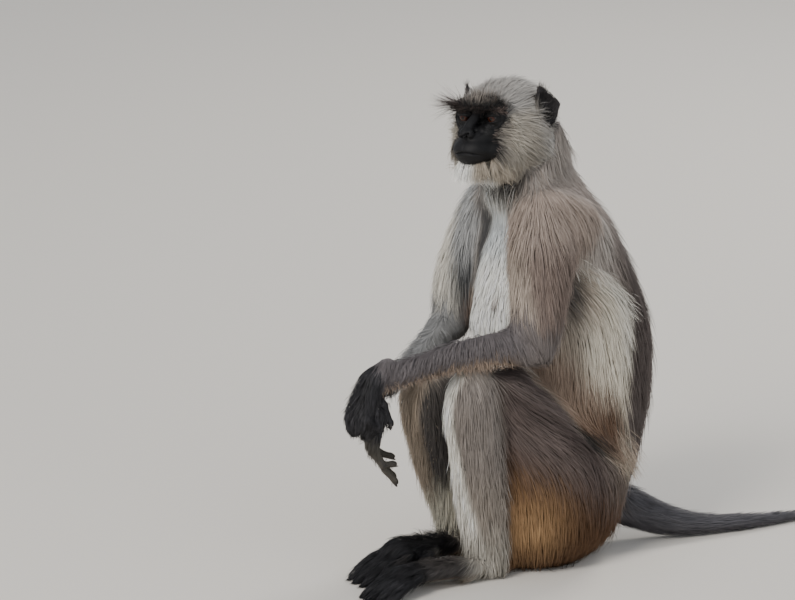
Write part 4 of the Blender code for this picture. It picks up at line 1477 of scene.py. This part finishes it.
def lock_mesh(name, lines, normals, width, colours, flat_at):
    """Spindles round the lines, with colours, soft normals and a bake map, as one object."""
    count, rings = lines.shape[0], lines.shape[1] - 2
    ways = unit(np.gradient(lines, axis=1).reshape(-1, 3)).reshape(lines.shape)
    sides = unit(np.cross(ways, normals).reshape(-1, 3)).reshape(lines.shape)
    tops = unit(np.cross(sides, ways).reshape(-1, 3)).reshape(lines.shape)
    inner = slice(1, rings + 1)
    levels = np.arange(1, rings + 1) / (rings + 1)
    girth = width[:, None, None] * np.interp(levels, *zip(*GIRTH))[None, :, None]
    base, side, top = lines[:, inner], sides[:, inner] * girth, tops[:, inner] * girth
    ring = np.stack((base - side - top * DROP, base + side - top * DROP, base + top * CREST), 2)
    points = np.concatenate((lines[:, :1], ring.reshape(count, -1, 3), lines[:, -1:]), 1)
    points[..., 2] = np.maximum(points[..., 2], 0.0002)
    top, side = tops[:, inner], sides[:, inner] * 0.75
    out = np.stack((top - side, top + side, top), 2)
    soft = np.concatenate((tops[:, :1], out.reshape(count, -1, 3), tops[:, -1:]), 1).reshape(-1, 3)
    guide = (normals[:, :1], np.repeat(normals[:, inner], 3, 1), normals[:, -1:])
    guide = np.concatenate(guide, 1).reshape(-1, 3)
    each = points.shape[1]
    solid = (np.arange(count)[:, None, None] * each + spindle_faces(rings)[None]).reshape(-1, 3)
    mesh = bpy.data.meshes.new(name)
    mesh.vertices.add(count * each)
    mesh.vertices.foreach_set("co", points.reshape(-1))
    mesh.loops.add(len(solid) * 3)
    mesh.loops.foreach_set("vertex_index", solid.reshape(-1).astype(np.int32))
    mesh.polygons.add(len(solid))
    mesh.polygons.foreach_set("loop_start", (np.arange(len(solid)) * 3).astype(np.int32))
    mesh.update(calc_edges=True)
    mesh.shade_smooth()
    mesh.normals_split_custom_set_from_vertices(unit(soft * 0.45 + guide * 0.85))
    shade = np.linspace(ROOT_SHADE, TIP_SHADE, rings + 2)
    shade = np.concatenate((shade[:1], np.repeat(shade[inner], 3), shade[-1:]))
    paint(mesh, (colours[:, None, :] * shade[None, :, None]).reshape(-1, 3))
    level = np.concatenate(((0,), np.repeat(levels, 3), (1,)))
    across = np.concatenate(((0.5,), np.tile((0, 1, 0.5), rings), (0.5,)))
    patch = flat_at[:, None, :] + (np.stack((across, level), 1) - 0.5)[None] * BAKE_PATCH
    patch = patch.reshape(-1, 2)
    layer = mesh.uv_layers.new(name="OFBake")
    layer.data.foreach_set("uv", patch[solid.reshape(-1)].reshape(-1))
    thing = placed(name, mesh)
    mesh.materials.append(coat_material)
    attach(thing, "root")
    coat_total.append(len(solid))


coat_total = []


def in_pieces(name, lines, normals, width, tint, faces, shares):
    """Makes one layer of locks, rooted at the shares of the faces, in pieces under the limit."""
    flat_at = np.einsum("nkc,nk->nc", flat[faces], shares)
    layer = (lines, normals, width, np.clip(tint, DARKEST, PALEST), flat_at)
    per_lock = 6 * (lines.shape[1] - 2)
    parts = math.ceil(len(lines) * per_lock / PIECE_LIMIT)
    for k in range(parts):
        mine = slice(k * len(lines) // parts, (k + 1) * len(lines) // parts)
        lock_mesh(f"{name}_{k + 1}", *(values[mine] for values in layer))


# %% [markdown]
# Each part's hair has its own length and width. The long hair of the trunk, arms and thighs gets
# more locks than the short hair of the hands, and none grows on the bare face.

# %% Length and width over the skin
HAIR = {
    # part: length, half width
    "head": (0.026, 0.00036), "ear": (0.007, 0.00030), "neck": (0.046, 0.00044),
    "chest": (0.056, 0.00044), "belly": (0.050, 0.00046), "upper_arm": (0.050, 0.00042),
    "forearm": (0.024, 0.00038), "hand": (0.017, 0.00036), "thigh": (0.044, 0.00046),
    "lower_leg": (0.034, 0.00042), "foot": (0.020, 0.00040), "tail_root": (0.030, 0.00042),
    "tail_tip": (0.028, 0.00042), "tail": (0.022, 0.00042),
}
x, y, z = skin_at.T
left, ahead, up = in_head(skin_at).T
is_head = part_weights[:, FLESH.index("head")]
bare = face_mask(skin_at, 0.0045, -0.0050) * is_head
length_at, width_at = part_values(HAIR)[labels].T
length_at += is_head * 0.014 * step(0.000, -0.025, up) * step(0.040, 0.005, ahead)
length_at -= is_head * 0.008 * step(0.008, 0.018, up) * step(0.000, 0.030, ahead)
length_at *= 1 - 0.60 * breast(skin_at) * of_parts(labels, "chest")
length_at += 0.006 * (step(-0.2, -0.8, skin_normal[:, 2]) * of_parts(labels, "forearm"))
ankle = on_foot * step(0.0, 0.03, y + np.where(x > 0.015, 0.198, 0.150))
length_at += 0.014 * ankle
toes = on_foot * step(0.03, 0.0, y + np.where(x > 0.015, 0.262, 0.236))
length_at += 0.008 * toes
length_at, width_at = softened(length_at, 8), softened(width_at, 8)
edge_of_face = face_mask(skin_at, 0.006, 0.004) * is_head
length_at *= 1 - 0.40 * edge_of_face * step(-0.048, -0.042, up)
over_brow = step(0.026, 0.018, up) * step(0.008, 0.013, up) * step(0.028, 0.038, ahead + 8 * left**2)
length_at *= 1 - 0.50 * over_brow * is_head
round_armpit = spot(y, z, (ARMPIT_BACK, 0.352), (0.034, 0.046))
length_at *= 1 - 0.55 * (round_armpit * step(0.045, 0.060, np.abs(x))) * on_trunk
print("mean length of hair:", round(float(length_at.mean()) * 1000, 1), "mm")

# %% [markdown]
# Cling says how closely a lock follows the skin. It is lower where the coat hangs free: on the
# shoulders, at the ruff, over the crease of the thigh and round the ankles. Palms and soles are
# bare.

# %% Cling and bare palms
cling_at = np.ones(len(skin_at))
shoulder = of_parts(labels, "upper_arm", "chest", "neck")
cling_at -= 0.35 * step(0.36, 0.40, z) * step(0.035, 0.055, np.abs(x)) * shoulder
cling_at -= 0.30 * is_head * step(-0.005, -0.030, up) * step(0.030, 0.000, ahead)
cling_at -= 0.30 * ankle
above = z - thigh_crease(y)
over_crease = step(0.060, 0.030, above) * step(-0.010, 0.000, above)
cling_at -= 0.40 * over_crease * on_trunk * step(-0.09, -0.05, y)
cling_at -= 0.40 * on_shin * step(0.090, 0.030, z)
cling_at -= 0.30 * toes
cling_at -= 0.35 * is_head * step(-0.030, -0.050, up) * step(0.040, 0.000, ahead)
cling_at = softened(cling_at, 6)
palm = np.zeros(len(skin_at))
for word in SIDES.values():
    mine = on_part["hand_" + word]
    low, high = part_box("hand_" + word)
    if word == "left":
        inside = step(0.0, -0.010, skin_at[mine, 1] - (low[1] + high[1]) / 2)
        palm[mine] = step(0.2, 0.7, skin_normal[mine, 1]) * inside
    else:
        finger = step(low[2] + 0.052, low[2] + 0.034, z[mine])
        palm[mine] = np.clip(step(0.0, 0.5, skin_normal[mine, 1]) + finger * 0.92, 0, 1)
        length_at[mine] *= 1 - 0.5 * finger
    mine = on_part["foot_" + word]
    palm[mine] = step(0.1, -0.4, skin_normal[mine, 2])
NEARLY_NONE = 1e-6
hairy = (1 - np.clip(bare * 1.5, 0, 1)) * (1 - palm) + NEARLY_NONE
hairy[skin_at[:, 2] < 0.0012] = NEARLY_NONE
print("share of the skin's points with hair:", round(float(hairy.mean()), 2))

# %% [markdown]
# The coat goes on layer by layer. Short broad locks close the gaps on head and trunk, and the long
# locks lie over them. A lock takes its colour from a place partway along it, so that the borders
# of the markings break up as hair breaks them. A few stray locks stand higher and a few are paler,
# which keeps the coat from looking combed.

# %% The coat
COAT = (
    # name, parts, locks, steps, length, width, least and most of the room, cling, gathering
    ("coat_head_under", ("head",), 4800, 3, 0.70, 1.9, (0.20, 0.50), 0.90, 0.2),
    ("coat_head", ("head",), 21500, 3, 1.00, 1.0, (0.50, 1.10), 0.85, 0.35),
    ("coat_ears", ("ear",), 1400, 2, 1.00, 1.0, (0.50, 1.00), 0.80, 0.2),
    ("coat_neck", ("neck",), 9000, 3, 1.00, 1.1, (0.50, 1.10), 0.85, 0.35),
    ("coat_trunk_under", ("chest", "belly"), 3200, 3, 0.70, 2.6, (0.15, 0.45), 0.95, 0.1),
    ("coat_chest", ("chest",), 12300, 3, 1.00, 1.0, (0.50, 1.10), 0.93, 0.40),
    ("coat_belly", ("belly",), 8200, 3, 1.00, 1.0, (0.50, 1.10), 0.93, 0.40),
    ("coat_upper_arms", ("upper_arm",), 9900, 3, 1.00, 1.0, (0.50, 1.10), 0.90, 0.35),
    ("coat_forearms", ("forearm",), 8400, 3, 1.00, 1.0, (0.50, 1.10), 0.82, 0.35),
    ("coat_thighs", ("thigh",), 9800, 3, 1.00, 1.0, (0.50, 1.10), 0.93, 0.40),
    ("coat_lower_legs", ("lower_leg",), 8000, 3, 1.00, 1.0, (0.50, 1.10), 0.90, 0.40),
    ("coat_hands_feet", ("hand", "foot"), 9000, 3, 1.00, 1.0, (0.50, 1.10), 0.85, 0.30),
    ("coat_tail", ("tail",), 7600, 3, 1.00, 1.0, (0.40, 0.95), 0.90, 0.30),
)


def partway(lines, share):
    """The point a given share of the way along each line."""
    reach = share * (lines.shape[1] - 1)
    whole = np.floor(reach).astype(int)
    rows = np.arange(len(lines))
    part = (reach - whole)[:, None]
    return lines[rows, whole] * (1 - part) + lines[rows, whole + 1] * part


def tinted(lines, early, late):
    """Each lock takes the marking that lies somewhere along it, so borders break up as hair does."""
    spots, faces, shares = onto_skin(partway(lines, chance.uniform(early, late, len(lines))))
    return markings_and_painted_light(spots, spread(part_weights, faces, shares))


STRAY_SHARE, STRAY_RISE, STRAY_CLING = 0.09, 1.6, 0.55
PALE_SHARE, PALE_GAIN = 0.05, 1.25
LOWEST_LINE = 0.0014
for name, parts, count, steps, long, wide, fills, cling, gather in COAT:
    share = sum(part_weights[:, i] for i, n in enumerate(FLESH) if n.startswith(parts))
    faces, shares = roots_on(hairy * share, count)
    scalars = spread(np.stack((length_at, width_at, cling_at), 1), faces, shares)
    length = scalars[:, 0] * long * chance.uniform(0.70, 1.20, count)
    width = scalars[:, 1] * wide * chance.uniform(0.75, 1.25, count)
    stray = chance.random(count) < STRAY_SHARE
    fill = chance.uniform(*fills, count) * np.where(stray, STRAY_RISE, 1.0)
    turn = chance.normal(0, 0.08, count)
    hold = cling * scalars[:, 2] * np.where(stray, STRAY_CLING, 1.0)
    lines, normals = walk(faces, shares, turn, length, fill, steps, hold)
    lines, follow = gathered(lines, gather)
    lines[..., 2] = np.maximum(lines[..., 2], LOWEST_LINE)
    on_head = parts == ("head",)
    if on_head:
        radial = (lines - np.array(head_middle)) * (1, 1, 0)
        under = step(0.2, -0.5, normals[..., 2:])
        normals = normals - 0.75 * under * normals * (0, 0, 1) + radial * under / 0.05
        normals = unit(normals.reshape(-1, 3)).reshape(lines.shape)
    tint = tinted(lines, 0.15, 0.50) if on_head else tinted(lines, 0.30, 0.75)
    rough = 1 + 2.5 * step(0.08, 0.02, tint.mean(axis=1))
    uneven = 0.080 * chance.normal(0, 1, count)[follow] + 0.060 * chance.normal(0, 1, count)
    tint = tint * np.exp(uneven * rough)[:, None]
    tint[chance.random(count) < PALE_SHARE] *= PALE_GAIN
    in_pieces(name, lines, normals, width, tint, faces, shares)
    print(name, count, "locks")

# %% [markdown]
# ## Free hairs
#
# Some hairs stand free of the coat and get their own directions. Long stiff dark ones fan out
# from the brow, forwards, outwards and a little upwards, and shade the eyes. A few finer ones
# stand on the forehead.


# %% Brow and forehead
def free_hairs(name, roots, ways, length, width, tint, sag, facing):
    """Straight hairs that bend down by their own weight; facing turns their shading to one side."""
    start, faces, shares = roots
    normal = unit(spread(skin_normal, faces, shares))
    along = np.linspace(0, 1, 4)[None, :, None]
    length, sag = length[:, None, None], np.reshape(sag, (-1, 1, 1))
    lines = (start - normal * 0.0008)[:, None] + ways[:, None] * length * along
    lines = lines + np.array((0, 0, -1.0)) * length * sag * along**2
    normals = np.repeat(unit(normal * 0.5 + facing)[:, None], 4, axis=1)
    in_pieces(name, lines, normals, np.full(len(start), width), tint, faces, shares)
    print(name, len(start), "hairs")


def head_hairs(name, spots, ways, length, width, tint, sag, facing=(0, 0, 0)):
    """Free hairs whose spots, ways and facing are given in the head's own frame."""
    turned = unit((ways * (1, -1, 1)) @ turn_array.T)
    faced = (np.array(facing) * (1, -1, 1)) @ turn_array.T
    free_hairs(name, onto_skin(from_head(spots)), turned, length, width, tint, sag, faced)


def noise(count, size):
    """Small random differences round zero."""
    return chance.normal(0, size, count)


count = 900
left = chance.uniform(-0.033, 0.033, count)
spots = columns(
    left, 0.050 - 9.0 * left**2 + noise(count, 0.0020), 0.0135 - 3.0 * left**2 + noise(count, 0.0024),
)
ways = columns(left * 30 + noise(count, 0.35), 0.9 - 26 * np.abs(left), 0.10 + noise(count, 0.28))
length = chance.uniform(0.005, 0.011, count) * (1 + 0.5 * step(-0.012, -0.032, left))
dark = np.array((0.024, 0.018, 0.016)) * chance.lognormal(0, 0.55, (count, 1))
dark = dark * (1 + 2.2 * step(0.018, 0.030, left))[:, None]
head_hairs("brow_fringe", spots, ways, length, 0.00020, dark, 0.08)

count = 260
left = chance.uniform(-0.036, -0.018, count)
spots = columns(left, 0.047 - 9.0 * left**2, 0.0165 + noise(count, 0.0035))
ways = columns(-0.80 + noise(count, 0.22), 0.70 + noise(count, 0.25), 0.30 + noise(count, 0.34))
length = chance.uniform(0.018, 0.042, count)
# about a third of the wisps are painted five times paler, as painted light catching them
shade = np.where(chance.random(count) < 0.35, 5.0, 1.0)
dark = np.array((0.026, 0.020, 0.018)) * (chance.uniform(0.7, 1.8, count) * shade)[:, None]
head_hairs("brow_wisps", spots, ways, length, 0.00018, dark, noise(count, 0.08))

count = 110
left = chance.uniform(-0.030, 0.026, count)
spots = columns(left, 0.038 + noise(count, 0.004) - 8 * left**2, 0.024 + noise(count, 0.003))
ways = columns(left * 12 + noise(count, 0.4), 0.10 + noise(count, 0.35), 0.95 + noise(count, 0.2))
length = chance.uniform(0.010, 0.024, count)
dark = np.array((0.100, 0.078, 0.064)) * chance.uniform(0.5, 1.8, (count, 1))
head_hairs("forehead_wisps", spots, ways, length, 0.00017, dark, noise(count, 0.08))

# %% [markdown]
# Pale cheek hair lies over the lower front of each ear, and more of it stands out on both sides of
# the face. A few dark hairs stand on the tips of the ears.

# %% Ears and cheeks
for side, word in SIDES.items():
    count = 500
    ahead, up = chance.uniform(-0.014, 0.016, count), chance.uniform(-0.036, -0.005, count)
    spots = columns(side * 0.048, ahead, up)
    ways = columns(side * (0.55 + noise(count, 0.20)), -1, 0.10 + noise(count, 0.28))
    length = chance.uniform(0.010, 0.024, count)
    pale = np.array((0.430, 0.400, 0.350)) * chance.uniform(0.65, 1.2, (count, 1))
    head_hairs("ear_cover_" + word, spots, ways, length, 0.00022, pale, 0.14)

    count = 40
    out = side * (0.056 + noise(count, 0.002))
    spots = columns(out, -0.012 + noise(count, 0.004), 0.024 + noise(count, 0.003))
    ways = columns(side * (0.1 + noise(count, 0.2)), noise(count, 0.25), 1)
    length = chance.uniform(0.006, 0.014, count)
    dark = np.array((0.040, 0.032, 0.030)) * chance.uniform(0.7, 1.5, (count, 1))
    head_hairs("ear_tuft_" + word, spots, ways, length, 0.00016, dark, 0)

    count = 500
    up = chance.uniform(-0.046, 0.002, count)
    spots = columns(side * chance.uniform(0.030, 0.038, count), chance.uniform(0.022, 0.036, count), up)
    ways = columns(side * (1.0 + noise(count, 0.2)), 0.35 + noise(count, 0.25), 8 * up + noise(count, 0.2))
    length = chance.uniform(0.010, 0.020, count)
    pale = np.array((0.520, 0.475, 0.400)) * chance.uniform(0.7, 1.2, (count, 1))
    facing = (side * 0.5, 0.5, 0.5)
    head_hairs("cheek_fringe_" + word, spots, ways, length, 0.00024, pale, 0.15, facing)

# %% [markdown]
# The beard hangs from the chin, and is whiter on the animal's right. Short dark hairs blur the
# edge of the bare face, where skin would otherwise meet coat in a hard line.

# %% Beard and muzzle
count = 1600
left = chance.uniform(-0.026, 0.030, count)
spots = columns(left, 0.030 + 0.052 * np.sqrt(chance.random(count)) - 12 * left**2, -0.060)
ways = columns(left * 16 + noise(count, 0.15), 0.45 + noise(count, 0.20), -1)
length = chance.uniform(0.014, 0.028, count)
share = step(0.016, -0.002, left)[:, None]
pale = (BEARD * (1 - share) + WHITE * share) * chance.uniform(0.80, 1.15, (count, 1))
head_hairs("beard", spots, ways, length, 0.00028, pale, 0.05, (0, 1.4, 0.9))
for side, word in SIDES.items():
    count = 650
    up = chance.uniform(-0.045, -0.006, count)
    round_by = np.radians(np.interp(up, *zip(*FACE_EDGE)) - chance.uniform(-2, 13, count))
    spots = columns(side * 0.046 * np.sin(round_by), 0.020 + 0.046 * np.cos(round_by), up)
    out = side * (0.75 + noise(count, 0.20))
    ways = columns(out, -0.75 + noise(count, 0.20), 14 * up + 0.05 + noise(count, 0.22))
    length = chance.uniform(0.005, 0.012, count)
    dark = np.array((0.050, 0.041, 0.036)) * chance.lognormal(0, 0.75, (count, 1))
    head_hairs("muzzle_edge_" + word, spots, ways, length, 0.00022, dark, 0.05)

# %% [markdown]
# Longer free hairs break up the plain edges of the body: under the near forearm, along the flank
# and the hip, down both upper arms and down the far shin.

# %% Fringes of the body
x, y, z = skin_at.T
facing_x, facing_y, facing_z = skin_normal.T
above = z - thigh_crease(y)
flank = on_trunk * step(0.045, 0.060, np.abs(x))
hip = flank * step(0.020, 0.034, above) * step(0.066, 0.050, above)
FRINGES = (
    # name, where, hairs, way, disorder, shortest, longest, colour, sag, facing
    ("fringe_forearm",
     on_part["forearm_left"] * step(-0.1, -0.6, facing_z) * step(-0.14, -0.17, y),
     1300, (0.25, 0.05, -1), 0.42, 0.006, 0.015, (0.330, 0.250, 0.190), 0.1, (0.7, -0.3, 0.7)),
    ("fringe_flank",
     flank * bump(y - flank_edge(z), 0.002, 0.005) * step(0.30, 0.33, z),
     1300, (0.2, 0.75, -0.75), 0.28, 0.012, 0.030, PALE, 0.35, (0, 0, 0.4)),
    ("fringe_hip",
     hip * step(0.000, 0.018, y) * step(0.045, 0.03, y),
     900, (0.25, 0.55, -1), 0.20, 0.020, 0.042, (0.420, 0.335, 0.260), 0.2, (0.3, 0, 0.5)),
    ("fringe_near_arm",
     on_part["upper_arm_left"] * step(0.5, 0.85, -facing_y) * step(0.052, 0.078, x),
     900, (-0.30, -0.10, -1), 0.20, 0.014, 0.030, (0.470, 0.400, 0.335), 0.05, (0.3, -0.6, 0.5)),
    ("fringe_far_arm",
     on_part["upper_arm_right"] * step(-0.3, -0.7, facing_x),
     1200, (-0.35, -0.15, -1), 0.22, 0.014, 0.030, (0.700, 0.670, 0.590), 0.1, (-0.3, -0.6, 0.5)),
    ("fringe_far_shin",
     on_part["lower_leg_right"] * step(-0.2, -0.7, facing_y) * step(0.04, 0.07, z),
     700, (0, -0.30, -1), 0.18, 0.010, 0.018, (0.440, 0.360, 0.280), 0.1, (0.3, -0.6, 0.3)),
)
for name, where, count, way, disorder, short, long, colour, sag, facing in FRINGES:
    faces, shares = roots_on(where + 1e-9, count)
    start = spread(skin_at, faces, shares)
    outward = np.where(start[:, 0] < 0, -1, 1) if way[0] > 0 else np.ones(count)
    ways = columns(way[0] * outward, way[1], way[2])
    ways = unit(ways + chance.normal(0, disorder, (count, 3)))
    tint = np.asarray(colour) * chance.uniform(0.70, 1.20, (count, 1))
    length = chance.uniform(short, long, count)
    free_hairs(name, (start, faces, shares), ways, length, 0.00030, tint, sag, np.array(facing))
print("coat in all:", sum(coat_total), "triangles in", len(coat_total), "pieces")

# %% Finish
low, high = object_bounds()
